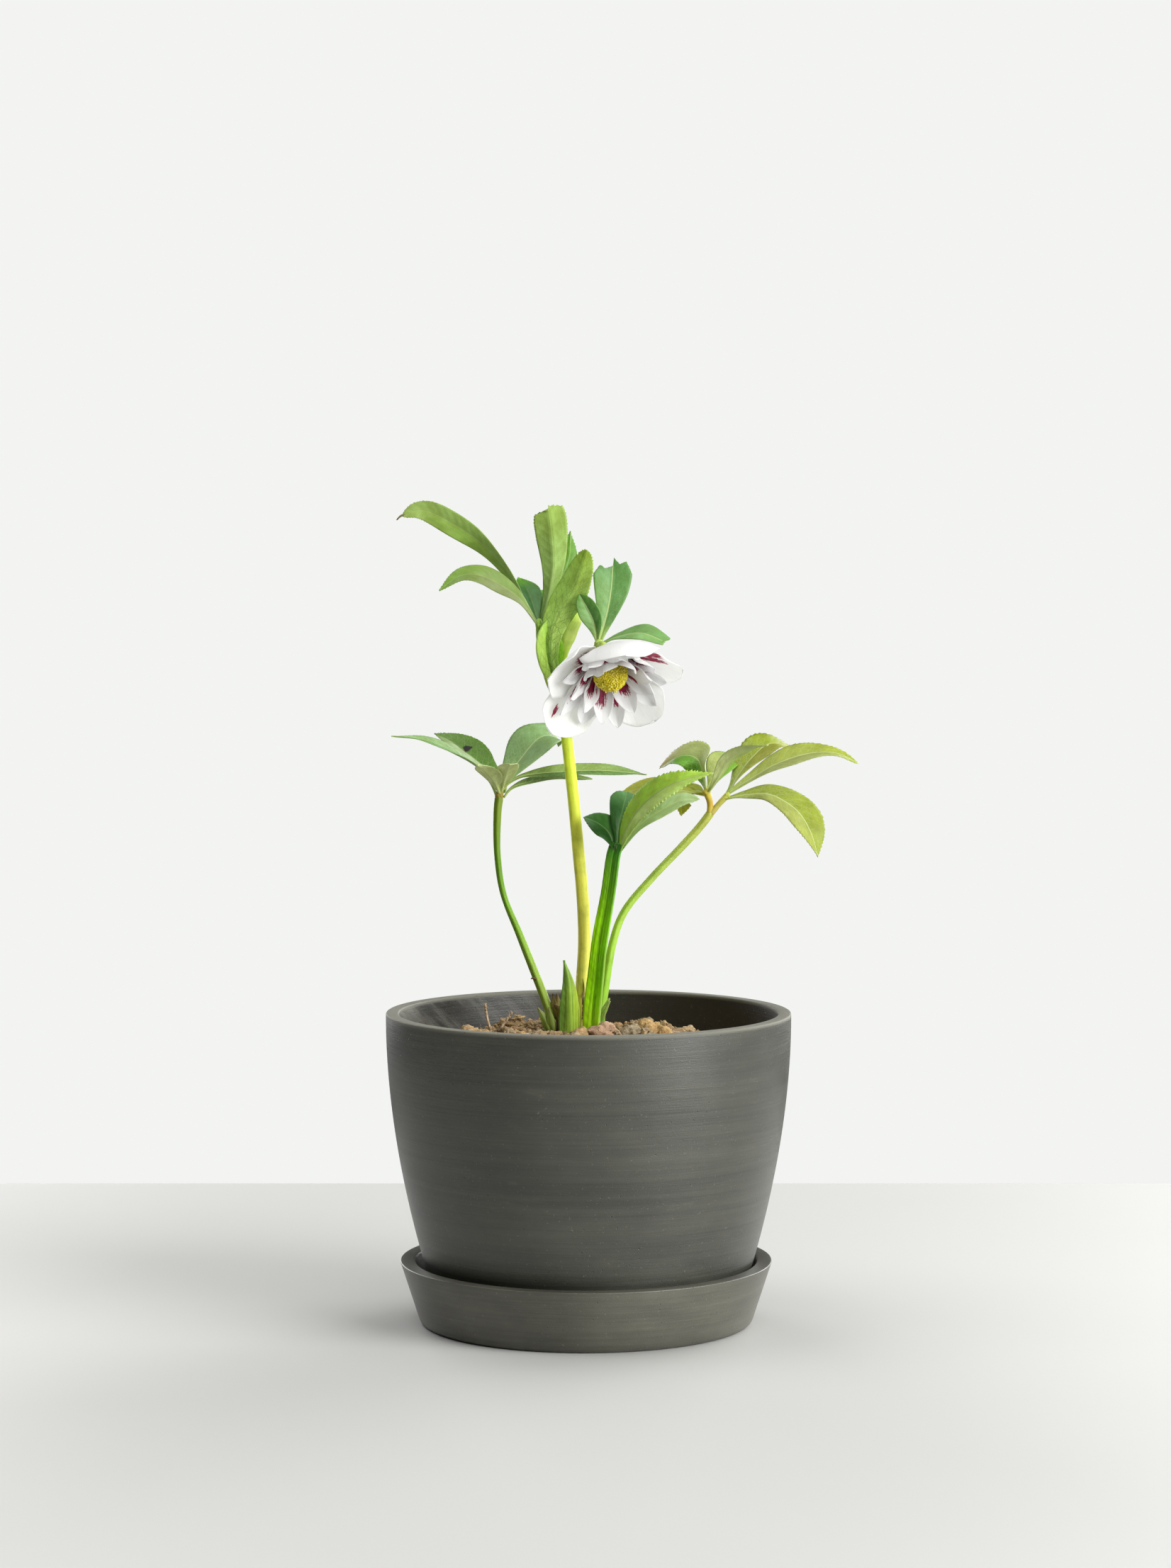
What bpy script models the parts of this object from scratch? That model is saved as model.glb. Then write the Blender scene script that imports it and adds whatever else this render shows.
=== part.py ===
"""A Christmas rose in a dark round pot on a saucer.

Every length in the tables below is in millimetres and is turned into metres by MM.
The origin is on the table, on the pot's axis: +X to the right, +Y to the back, +Z up.
"""
import math
import random
from collections import namedtuple

import bmesh
import bpy
from mathutils import Matrix, Vector, noise

MM = 0.001
GAP = 0.3                  # clearance between touching pieces

# Pot: a round cup that swells upward, open at the top, with a drain hole
RIM_HEIGHT = 153.9
RIM_RADIUS = 100.0
WALL = 6.3
SWELL_HEIGHT = 150.0       # above this the wall stands upright
SWELL_DEPTH = 28.0         # how much narrower the foot would be at the table
SWELL_POWER = 1.85
POT_FLOOR = 7.0
DRAIN_RADIUS = 8.0
FOOT_ROUND = 4.0
RIM_EDGE = 0.7             # bevel of the pot's crisp rim

# Saucer: a straight flared wall round a flat floor
SAUCER_HEIGHT = 31.0
SAUCER_RIM_RADIUS = 92.1
SAUCER_BASE_RADIUS = 82.0
SAUCER_WALL = 7.5
SAUCER_FLOOR = 6.0
SAUCER_EDGE = 0.6
SAUCER_FOOT_ROUND = 2.5
SAUCER_SHIFT_X = -1.2      # the pot stands a little off the saucer's centre

# Soil
SOIL_EDGE_HEIGHT = 134.0
MOUND_HEIGHT = 144.0
MOUND_INNER = 44.0
MOUND_OUTER = 74.0
HEAP_SPACING = 22.0
HEAP_HEIGHT = 5.0
HEAP_LAYER = 245.0         # slice of the noise whose heaps suit the stones' places
CLOD_SPACING = 8.5
CLOD_HEIGHT = 3.2
CLOD_LAYER = 45.0
SOIL_SLACK = 0.95          # the soil's side stands this far inside the pot's wall
SOIL_SPOKES = 50
SOIL_RINGS = 12
HOLE_SLACK = 0.4           # a stem's hole is this much wider than the stem
HOLE_FLOOR = 131.5
HOLE_TOP = 158.0

ROUND_STEPS = 48
LEAF_THICKNESS = 0.8
PETAL_THICKNESS = 0.7
WIDE_BLADE = 18.0          # a blade wider than this is divided once more across each half
BARE_SHARE = 0.32          # part of a toothed blade, from its stalk, that has no teeth
NOTCH = 0.86               # width at a notch between teeth, as a share of the full width

# A leaflet or lobe. path: midrib, stalk to tip. width: both halves together.
# up: way its upper side looks at the stalk and at the tip. fold: degrees that the left and
# right halves rise from flat. belly: where along it the blade is widest. teeth: on each edge.
Blade = namedtuple("Blade", "path width up fold belly tip teeth stalk", defaults=(0.12,))

LEFT_PETIOLE = [(-20, -3, 132), (-19, -3, 151), (-21, -3, 159), (-26, -2, 172), (-34, 0, 192),
                (-42, 2, 212), (-45, 3, 232), (-45, 4, 251), (-44, 5, 261)]
LEFT_BLADES = [
    Blade([(-45, 5, 260), (-48, 2, 267), (-54, -3, 275), (-65, -9, 282), (-81, -14, 289),
           (-96, -18, 291)], 11, ((0.5, -0.2, 0.8), (0.2, -0.25, 0.95)), (16, 16), 0.55, "long", 3),
    Blade([(-44, 5, 261), (-46, 8, 269), (-54, 14, 275), (-60, 20, 279), (-68, 26, 285),
           (-77, 32, 290)], 23, ((0.3, -0.7, 0.6), (0.1, -0.8, 0.6)), (62, 4), 0.6, "long", 5),
    Blade([(-42, 6, 262), (-41, 9, 268), (-33, 16, 279), (-26, 24, 287), (-20, 32, 289),
           (-15, 38, 286)], 24, ((-0.4, -0.8, 0.4), (-0.2, -0.8, 0.6)), (10, 16), 0.6, "round", 4),
    Blade([(-43, 5, 263), (-39, 8, 267), (-31, 13, 270), (-14, 19, 271.5), (7, 21, 272),
           (29, 22, 270)], 11, ((-0.2, -0.55, 0.8), (0.1, -0.5, 0.85)), (16, 16), 0.6, "long", 3),
    Blade([(-42, 5, 260), (-38, 9, 264), (-29, 18, 266.5), (-14, 29, 268), (2, 37, 267)],
          10, ((-0.3, -0.4, 0.8), (0, -0.35, 0.9)), (14, 14), 0.6, "long", 3),
    Blade([(-44, 4, 262), (-46, -6, 268), (-50, -18, 274), (-54, -29, 277.5)],
          12, ((0.1, 0.3, 0.9), (0, 0.3, 1)), (12, 12), 0.6, "long", 3),
    Blade([(-43, 4, 263), (-41, -8, 270), (-39, -20, 276), (-38, -32, 278)],
          11, ((-0.1, 0.3, 0.9), (0, 0.3, 1)), (12, 12), 0.6, "long", 3),
]

RIGHT_PETIOLE = [(6, 8, 132), (6, 8, 149), (8, 9, 164), (12, 10, 187), (18, 10, 203),
                 (31, 9, 219), (46, 7, 235), (55, 6, 245), (61, 5, 253)]
RIGHT_FORK_LEFT = [(60, 5, 251), (60, 5, 257), (58.5, 5, 262)]
RIGHT_FORK_RIGHT = [(60, 5, 251), (65, 5, 257), (69, 5, 261)]
RIGHT_BLADES = [
    Blade([(67, 5, 259), (77, 2, 261), (89, -3, 261.5), (101, -9, 255), (108, -14, 245),
           (112, -18, 232)], 20, ((-0.1, -0.6, 0.8), (0.6, -0.8, 0.25)), (10, 22), 0.68, "long", 5),
    Blade([(68, 5, 261), (79, 6, 268), (93, 8, 276), (109, 10, 281), (123, 12, 281),
           (134, 14, 276)], 16.5, ((-0.4, -0.5, 0.75), (0.1, -0.5, 0.8)), (14, 20), 0.52, "long", 4),
    Blade([(69, 6, 262), (75, 14, 271), (82, 22, 279), (91, 30, 285), (104, 40, 281)],
          20, ((-0.6, -0.6, 0.5), (0.2, -0.5, 0.8)), (10, 24), 0.6, "long", 5),
    Blade([(59, 5, 262), (63, -2, 269), (69, -10, 279), (78, -18, 285), (87, -26, 287)],
          12, ((-0.5, 0.6, 0.6), (-0.3, 0.5, 0.8)), (12, 12), 0.55, "long", 4),
    Blade([(58, 6, 262), (57, 12, 270), (54, 18, 278), (46, 26, 279), (36, 34, 273)],
          20, ((-0.5, 0.4, 0.5), (-0.3, -0.5, 0.8)), (10, 22), 0.6, "long", 4),
    Blade([(59, 7, 262), (64, 16, 271), (69, 27, 278), (74, 38, 279)],
          17, ((-0.3, -0.6, 0.6), (0.1, -0.4, 0.9)), (10, 10), 0.6, "long", 4),
    Blade([(57, 6, 262), (53, 11, 262.5), (48, 14, 259), (46, 16, 250)],
          13, ((0, -0.5, 0.8), (-0.5, -0.8, 0.2)), (14, 14), 0.55, "long", 4),
    Blade([(57, 6, 261), (47, 12, 262.5), (35, 18, 264), (23, 26, 262), (13, 33, 256)],
          14, ((0, -0.5, 0.8), (-0.4, -0.5, 0.7)), (12, 12), 0.6, "long", 3),
]

MIDDLE_PETIOLE = Blade([(2, -10, 132), (2, -10, 152), (4, -10, 172), (6, -10, 190), (10, -10, 213),
                        (12.5, -10, 231), (14.5, -10, 238)],
                       9.4, ((-0.35, -0.9, 0), (-0.5, -0.8, 0)), (22, 22), 0.25, "strap", 0, 0.8)
MIDDLE_BLADES = [
    Blade([(13, -10, 234), (10, -9, 243), (4, -7, 248), (-2.5, -4, 250.5)],
          14, ((0.4, -0.8, 0.3), (0.1, -0.8, 0.5)), (20, 20), 0.5, "long", 0),
    Blade([(14, -10, 235), (15, -8, 247), (17, -2, 255), (19, 6, 262)],
          15, ((0, -0.9, 0.3), (0, -0.8, 0.6)), (25, 12), 0.78, "blunt", 2),
    Blade([(14.5, -11, 232), (19, -16, 246), (26, -22, 257), (36, -28, 265.5), (47, -32, 270.5),
           (60, -36, 274)], 17, ((-0.7, -0.7, 0.2), (-0.4, -0.7, 0.6)), (8, 18), 0.5, "long", 6),
    Blade([(15.5, -10, 234), (24, -11, 246), (35, -12.5, 254), (45, -13, 259), (54, -14, 260)],
          11, ((-0.4, -0.7, 0.6), (0, -0.6, 0.8)), (20, 14), 0.6, "round", 3),
]

SCAPE = [(-3, 0, 130), (-3, 0, 150), (-3, 0, 166), (-2, 1, 189), (-3, 2, 212), (-5, 3, 234),
         (-7, 4, 255), (-10, 6, 283), (-12, 8, 300), (-14, 9, 315)]
SCAPE_RADII = [3.5, 3.5, 3.3, 3.1, 3.0, 3.0, 2.9, 2.85, 2.8, 2.6]
PEDICEL = [(-13, 8.5, 308), (-13, 9, 316), (-9, 8, 322), (-1, 2, 329), (5, -8, 334.5),
           (7.2, -14.6, 334.6), (8.3, -19.5, 331.1)]
BUD_STALK = [(-14, 9, 312), (-12, 7, 324), (-12, 5, 332), (-9, 3, 342), (-7, 2.6, 348),
             (-5, 2, 356)]
BUD_RADII = [1.8, 1.5, 1.9, 3.5, 3.8, 0.8]
BRACT_STALK = [(-14, 9, 308), (-19, 6, 316), (-22, 3, 327), (-24, 0, 337), (-24.5, -1, 346)]
BRACT_SHEATH = Blade([(-14.5, 8, 310), (-18, 4, 319), (-20.5, 0, 329), (-21, -1.5, 339),
                      (-18, -1, 350)], 18, ((0.2, -0.9, 0), (0.1, -0.9, 0.1)), (66, 8), 0.6,
                     "long", 0, 0.3)
BRACT_BLADES = [
    Blade([(-25, 0, 345), (-30, -2, 354), (-37, -5, 366.5), (-45, -8, 377.5), (-55, -11, 387),
           (-67, -13, 395.5), (-77, -14, 401.6), (-84, -14.5, 402.6), (-90.5, -15, 399.5)], 12,
          ((-0.7, -0.3, -0.4), (-0.2, -0.9, 0.2)), (12, 12), 0.72, "round", 6),
    Blade([(-25, -1, 345), (-33, -8, 357), (-42, -15, 364), (-52, -22, 369), (-62, -27, 369),
           (-72, -32, 362)], 12, ((0.6, -0.5, 0.1), (-0.2, -0.7, 0.6)), (12, 12), 0.6, "long", 5),
    Blade([(-24, 0, 345), (-20, 5, 358), (-17.5, 10, 374), (-18.5, 16, 391), (-20, 20, 404)],
          17, ((-0.1, 1, 0.1), (0.1, 1, -0.1)), (16, 16), 0.92, "blunt", 4),
    Blade([(-20, -3, 344), (-13.5, -6, 353), (-8, -9.5, 362), (-4, -13, 372), (-1, -15, 381.5)],
          16.5, ((0.4, 0.8, 0.3), (0.4, 0.8, 0.3)), (14, 14), 0.6, "blunt", 5, 0.75),
    Blade([(-24, 0.5, 345), (-16, 9, 363), (-10, 14, 377), (-9, 18, 391)],
          13, ((-0.3, 0.9, 0), (-0.3, 0.9, 0)), (20, 20), 0.6, "long", 3),
    Blade([(-24.6, 0.5, 345), (-28, 14, 356), (-31, 24, 363), (-35, 35, 368)],
          12, ((0, -0.6, 0.8), (0, -0.5, 0.9)), (14, 14), 0.6, "long", 3),
    Blade([(-24, 0.5, 345), (-24, 14, 354), (-23, 25, 359), (-22, 37, 362)],
          12, ((0, -0.6, 0.8), (0, -0.3, 1)), (14, 14), 0.6, "long", 3),
]
COLLAR_BLADES = [
    Blade([(4.4, -7.5, 335.5), (3, -8, 345), (0, -9, 352), (-4.5, -11, 360)],
          11, ((-0.3, -0.9, 0.2), (-0.2, -0.9, 0.2)), (24, 24), 0.6, "round", 2),
    Blade([(5, -7.5, 335.5), (8.5, -5, 348), (11, -1, 361), (12, 3, 374)],
          19.5, ((-0.1, -0.9, 0.2), (0.1, -0.9, 0)), (14, 14), 0.9, "blunt", 3),
    Blade([(5.5, -8, 335.5), (15, -13, 339.5), (26, -20, 341), (37, -27, 337)],
          13, ((0, -0.6, 0.8), (0.1, -0.7, 0.7)), (10, 16), 0.66, "blunt", 3),
]

# Flower: hung forward from the pedicel. Petals are placed by turn round its axis.
FLOWER_BASE = (8.5, -20.0, 330.5)
FLOWER_AXIS = (0.17, -0.63, -0.76)
CORE_RADIUS = 4.4
CORE_LENGTH = 3.2
ANTHER_RADIUS = 8.6
ANTHER_CENTRE = 12.0
ANTHERS = 42

# One petal. turn: degrees round the axis, 0 on the upper, near side. lean: degrees from the
# axis at the root and at the tip. roll: degrees about its own length.
Petal = namedtuple("Petal", "turn length width lean cup roll belly")
TEPALS = [
    Petal(358, 37, 41, (88, 10), 16, 8, 0.62),
    Petal(76, 36, 29, (78, 50), 14, 8, 0.62),
    Petal(133, 39, 33, (72, 40), 18, 8, 0.62),
    Petal(223, 44, 34, (72, 40), 18, 8, 0.62),
    Petal(282, 39, 35, (80, 36), 18, 8, 0.62),
]
INNER_PETALS = 15
INNER_LENGTHS = (31.0, 26.0)
INNER_WIDTH = 13.5
INNER_LEANS = ((64, 42), (52, 28))
NEAR_CURL = 18.0           # degrees that the near inner petals curl further over the anthers
FAR_REACH = 4.0            # how much longer the far inner petals are
TEPAL_ROWS = (0.0, 0.25, 0.5, 0.73, 0.9, 1.0)
INNER_ROWS = (0.0, 0.3, 0.62, 0.86, 1.0)
PETAL_TIP = 0.26           # width of a petal's blunt tip, as a share of the full width

SHEATH = Blade([(-9.5, -10, 132), (-9.5, -10, 149), (-9.5, -11, 160), (-10, -11, 170),
                (-12, -10.5, 180.5)], 11.5, ((-0.1, -1, 0), (0, -1, 0.1)), (-30, -30), 0.35,
               "long", 0, 0.6)
RIGHT_BUD = [(5.5, -1, 132), (6, -1, 150), (8, -1.5, 156), (10.5, -2, 161)]
OLD_STUB = [(-1.5, -6.8, 132), (-1.6, -6.4, 148), (-2.2, -5.9, 161)]
DRY_ROOT_LEFT = [(-47, -8, 136), (-48.5, -8, 146), (-50, -8, 152), (-51, -8, 159)]
DRY_ROOT_RIGHT = [(-44.5, -4, 136), (-43, -4, 146), (-40.5, -4, 150), (-38, -4, 154)]
CROWN_SCALES = [[(-14, -2, 148), (-17, -4.6, 156), (-17.6, -5.6, 163.5)],
                [(-13, -1, 148), (-15, -2, 155), (-15.6, -2.4, 163)],
                [(-12, -3, 149), (-13.6, -5.6, 154), (-17, -7, 158.5)]]

# Stones and crumbs pressed into the mound: centre x, y, z and radius
STONES = [(-59, -6, 143.5, 4.0), (-52, -10, 143.0, 3.6), (-33, -16, 143.2, 3.2),
          (-22, -22, 143.4, 3.4), (-4.5, -24, 144.4, 5.0), (8, -22, 145.2, 6.0),
          (21, -18, 145.0, 5.0), (29, -12, 146.2, 5.6), (36, -14, 144.4, 4.2),
          (43, -8, 142.6, 3.4)]


def clear_scene():
    """Start from an empty scene."""
    for item in list(bpy.data.objects):
        bpy.data.objects.remove(item, do_unlink=True)


def new_collection(name):
    group = bpy.data.collections.new(name)
    bpy.context.scene.collection.children.link(group)
    return group


def material(name, color, roughness, metallic=0.0):
    skin = bpy.data.materials.new(name)
    skin.use_nodes = True
    shader = skin.node_tree.nodes["Principled BSDF"]
    shader.inputs["Base Color"].default_value = (*color, 1.0)
    shader.inputs["Roughness"].default_value = roughness
    shader.inputs["Metallic"].default_value = metallic
    skin.diffuse_color = (*color, 1.0)
    return skin


def add_mesh(name, mesh, group, skin=None):
    item = bpy.data.objects.new(name, mesh)
    group.objects.link(item)
    if skin is not None:
        mesh.materials.clear()
        mesh.materials.append(skin)
    return item


def evaluated_mesh(item):
    """The object's mesh with its modifiers applied."""
    bpy.context.view_layer.update()
    seen = item.evaluated_get(bpy.context.evaluated_depsgraph_get())
    return bpy.data.meshes.new_from_object(seen)


def weld(mesh, distance=0.00001):
    cage = bmesh.new()
    cage.from_mesh(mesh)
    bmesh.ops.remove_doubles(cage, verts=cage.verts, dist=distance)
    bmesh.ops.recalc_face_normals(cage, faces=cage.faces)
    cage.to_mesh(mesh)
    cage.free()


def smooth_path(points, count):
    """count points along a Catmull-Rom curve through the given ones, evenly by length."""
    pins = [Vector(p) for p in points]
    pins = [2 * pins[0] - pins[1]] + pins + [2 * pins[-1] - pins[-2]]
    fine = []
    for a, b, c, d in zip(pins, pins[1:], pins[2:], pins[3:]):
        for step in range(16):
            u = step / 16
            fine.append(0.5 * (2 * b + (c - a) * u + (2 * a - 5 * b + 4 * c - d) * u ** 2
                               + (3 * b - a - 3 * c + d) * u ** 3))
    fine.append(pins[-2])
    reach = [0.0]
    for a, b in zip(fine, fine[1:]):
        reach.append(reach[-1] + (b - a).length)
    return [point_at(fine, reach, reach[-1] * k / (count - 1)) for k in range(count)]


def point_at(fine, reach, distance):
    for k in range(1, len(fine)):
        if reach[k] >= distance:
            share = (distance - reach[k - 1]) / max(reach[k] - reach[k - 1], 1e-9)
            return fine[k - 1].lerp(fine[k], share)
    return fine[-1].copy()


def tube(name, points, radii, group, count=None, sides=2):
    """A round stalk as a curve with a bevel, made a closed mesh."""
    count = count or len(points) + 3
    path = smooth_path(points, count)
    curve = bpy.data.curves.new(name, "CURVE")
    curve.dimensions = "3D"
    curve.bevel_depth = MM
    curve.bevel_resolution = sides
    curve.use_fill_caps = True
    line = curve.splines.new("POLY")
    line.points.add(count - 1)
    for k, point in enumerate(path):
        place = k / (count - 1) * (len(radii) - 1)
        low = min(int(place), len(radii) - 2)
        line.points[k].co = (*(point * MM), 1.0)
        line.points[k].radius = radii[low] + (radii[low + 1] - radii[low]) * (place - low)
    rod = bpy.data.objects.new(name, curve)
    group.objects.link(rod)
    mesh = evaluated_mesh(rod)
    bpy.data.objects.remove(rod, do_unlink=True)
    weld(mesh)
    return add_mesh(name, mesh, group)


def outline(t, blade):
    """Half width of a blade at t, as a share of its greatest half width."""
    if blade.tip == "strap":
        return 1.0 - (1.0 - blade.stalk) * abs(t - blade.belly) / max(blade.belly, 1 - blade.belly)
    if t < blade.belly:
        rise = t / blade.belly
        return blade.stalk + (1 - blade.stalk) * (rise * rise * (3 - 2 * rise)) ** 0.85
    fall = (t - blade.belly) / (1 - blade.belly)
    if blade.tip == "round":
        return max(1 - fall ** 2.2, 0) ** 0.6
    if blade.tip == "blunt":
        return max(1 - fall ** 4, 0) ** 0.5 * (1 - 0.35 * fall)
    return max(1 - fall ** 1.7, 0)


def stations(blade):
    """Places along a blade, each with its tooth: a notch is narrower, a tooth is full."""
    if not blade.teeth:
        return [(k / 8, 1.0) for k in range(9)]
    marks = [(0.0, 1.0), (0.5 * BARE_SHARE, 1.0), (BARE_SHARE, 1.0)]
    pitch = (0.97 - BARE_SHARE) / blade.teeth
    for k in range(blade.teeth):
        marks.append((BARE_SHARE + pitch * (k + 0.72), 1.0))
        marks.append((BARE_SHARE + pitch * (k + 0.9), NOTCH))
    marks.append((1.0, 1.0))
    return marks


def blade_surface(name, blade, cells):
    """The open surface of a blade: rows across it at each station, halves folded up."""
    marks = stations(blade)
    count = 33
    path = smooth_path(blade.path, count)
    cage = bmesh.new()
    rows = []
    for t, tooth in marks:
        place = t * (count - 1)
        low = min(int(place), count - 2)
        point = path[low].lerp(path[low + 1], place - low)
        along = (path[min(low + 2, count - 1)] - path[max(low - 1, 0)]).normalized()
        up = Vector(blade.up[0]).lerp(Vector(blade.up[1]), t)
        up = (up - up.dot(along) * along).normalized()
        side = along.cross(up)
        half = max(0.5 * blade.width * outline(t, blade) * tooth, 0.5)
        row = []
        for k in range(-cells, cells + 1):
            share = abs(k) / cells
            fold = math.radians(blade.fold[0 if k < 0 else 1]) * (1.25 - 0.5 * share)
            out = math.copysign(share * half, k) * math.cos(fold)
            lift = share * half * math.sin(fold)
            row.append(cage.verts.new((point + side * out + up * lift) * MM))
        rows.append(row)
    for front, back in zip(rows, rows[1:]):
        for k in range(len(front) - 1):
            cage.faces.new((front[k], front[k + 1], back[k + 1], back[k]))
    bmesh.ops.triangulate(cage, faces=cage.faces)
    mesh = bpy.data.meshes.new(name)
    cage.to_mesh(mesh)
    cage.free()
    return mesh


def thicken(item, thickness):
    """Give an open surface its thickness, half on either side."""
    shell = item.modifiers.new("Thickness", "SOLIDIFY")
    shell.thickness = thickness * MM
    shell.offset = 0.0
    mesh = evaluated_mesh(item)
    item.modifiers.clear()
    item.data = mesh
    return item


def add_blade(name, blade, group, thickness=LEAF_THICKNESS):
    cells = 2 if blade.width > WIDE_BLADE else 1
    return thicken(add_mesh(name, blade_surface(name, blade, cells), group), thickness)


def knot(name, centre, radius, group):
    """A small swelling where stalks meet."""
    cage = bmesh.new()
    place = Matrix.Translation(Vector(centre) * MM)
    bmesh.ops.create_icosphere(cage, subdivisions=2, radius=radius * MM, matrix=place)
    mesh = bpy.data.meshes.new(name)
    cage.to_mesh(mesh)
    cage.free()
    return add_mesh(name, mesh, group)


def fuse(name, pieces, group, skin, solver="EXACT"):
    """Join overlapping pieces into one body by one Boolean union on a collection."""
    first, rest = pieces[0], pieces[1:]
    heap = bpy.data.collections.new(name + "_pieces")
    bpy.context.scene.collection.children.link(heap)
    for piece in rest:
        for owner in list(piece.users_collection):
            owner.objects.unlink(piece)
        heap.objects.link(piece)
    union = first.modifiers.new("Union", "BOOLEAN")
    union.operation = "UNION"
    union.operand_type = "COLLECTION"
    union.collection = heap
    union.solver = solver
    mesh = evaluated_mesh(first)
    for piece in pieces:
        bpy.data.objects.remove(piece, do_unlink=True)
    bpy.data.collections.remove(heap)
    mesh.name = name
    return add_mesh(name, mesh, group, skin)


def turned(name, profile, group, skin, steps=ROUND_STEPS, closed=False):
    """A turned solid from a profile of (radius, height), outer side downward."""
    mesh = bpy.data.meshes.new(name)
    points = [(radius * MM, 0.0, height * MM) for radius, height in profile]
    edges = [(k, k + 1) for k in range(len(points) - 1)]
    if closed:
        edges.append((len(points) - 1, 0))
    mesh.from_pydata(points, edges, [])
    item = add_mesh(name, mesh, group, skin)
    spin = item.modifiers.new("Turn", "SCREW")
    spin.steps = spin.render_steps = steps
    spin.use_merge_vertices = True
    spin.merge_threshold = 0.00001
    spin.use_smooth_shade = True
    return item


def pot_radius(height):
    """Outer radius of the pot's wall at a height."""
    narrow = max(1 - height / SWELL_HEIGHT, 0.0) ** SWELL_POWER
    return RIM_RADIUS - SWELL_DEPTH * narrow


def make_saucer(group):
    edge = SAUCER_EDGE
    slope = (SAUCER_RIM_RADIUS - SAUCER_BASE_RADIUS) / SAUCER_HEIGHT
    inner_rim = SAUCER_RIM_RADIUS - SAUCER_WALL
    inner_floor = inner_rim - slope * (SAUCER_HEIGHT - SAUCER_FLOOR)
    profile = [(0.0, SAUCER_FLOOR), (inner_floor - 2.5, SAUCER_FLOOR),
               (inner_floor + 0.6, SAUCER_FLOOR + 2.0),
               (inner_rim - edge, SAUCER_HEIGHT - edge), (inner_rim, SAUCER_HEIGHT),
               (SAUCER_RIM_RADIUS - edge, SAUCER_HEIGHT),
               (SAUCER_RIM_RADIUS - 0.2, SAUCER_HEIGHT - edge),
               (SAUCER_BASE_RADIUS + slope * SAUCER_FOOT_ROUND, SAUCER_FOOT_ROUND),
               (SAUCER_BASE_RADIUS - 2.0, 0.0),
               (0.0, 0.0)]
    item = turned("saucer", profile, group, material("saucer clay", (0.075, 0.072, 0.062), 0.62))
    item.location.x = SAUCER_SHIFT_X * MM
    return item


def make_pot(group):
    foot = SAUCER_FLOOR + GAP
    edge = RIM_EDGE
    rise = [foot + FOOT_ROUND + (SWELL_HEIGHT - foot - FOOT_ROUND) * k / 5 for k in range(6)]
    floor = foot + POT_FLOOR
    inside = [floor + 6.0 + (SWELL_HEIGHT - floor - 6.0) * k / 3 for k in range(4)]
    profile = [(DRAIN_RADIUS, floor), (pot_radius(floor) - WALL - 6.0, floor)]
    profile += [(pot_radius(height) - WALL, height) for height in inside]
    profile += [(RIM_RADIUS - WALL, RIM_HEIGHT - edge), (RIM_RADIUS - WALL + edge, RIM_HEIGHT),
                (RIM_RADIUS - edge, RIM_HEIGHT), (RIM_RADIUS, RIM_HEIGHT - edge)]
    profile += [(pot_radius(height), height) for height in reversed(rise)]
    profile += [(pot_radius(foot) - 1.2, foot + 1.2), (pot_radius(foot) - FOOT_ROUND, foot),
                (DRAIN_RADIUS, foot)]
    return turned("pot", profile, group, material("pot clay", (0.068, 0.067, 0.060), 0.58),
                  closed=True)


def soil_height(x, y):
    """The soil's top: low at the wall, a mound of heaps and clods round the plant."""
    far = math.hypot(x + 6.0, y + 2.0)
    share = min(max((MOUND_OUTER - far) / (MOUND_OUTER - MOUND_INNER), 0.0), 1.0)
    base = SOIL_EDGE_HEIGHT + (MOUND_HEIGHT - SOIL_EDGE_HEIGHT) * share * share * (3 - 2 * share)
    heaps = noise.noise(Vector((x, y, HEAP_LAYER)) / HEAP_SPACING)
    clods = noise.noise(Vector((x, y, CLOD_LAYER)) / CLOD_SPACING)
    return base + HEAP_HEIGHT * heaps + CLOD_HEIGHT * clods


def soil_ring(cage, radius, height_at):
    """One ring of the soil's points; height_at gives the height at x, y."""
    ring = []
    for spoke in range(SOIL_SPOKES):
        angle = math.tau * spoke / SOIL_SPOKES
        x, y = radius * math.cos(angle), radius * math.sin(angle)
        ring.append(cage.verts.new(Vector((x, y, height_at(x, y))) * MM))
    return ring


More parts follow.
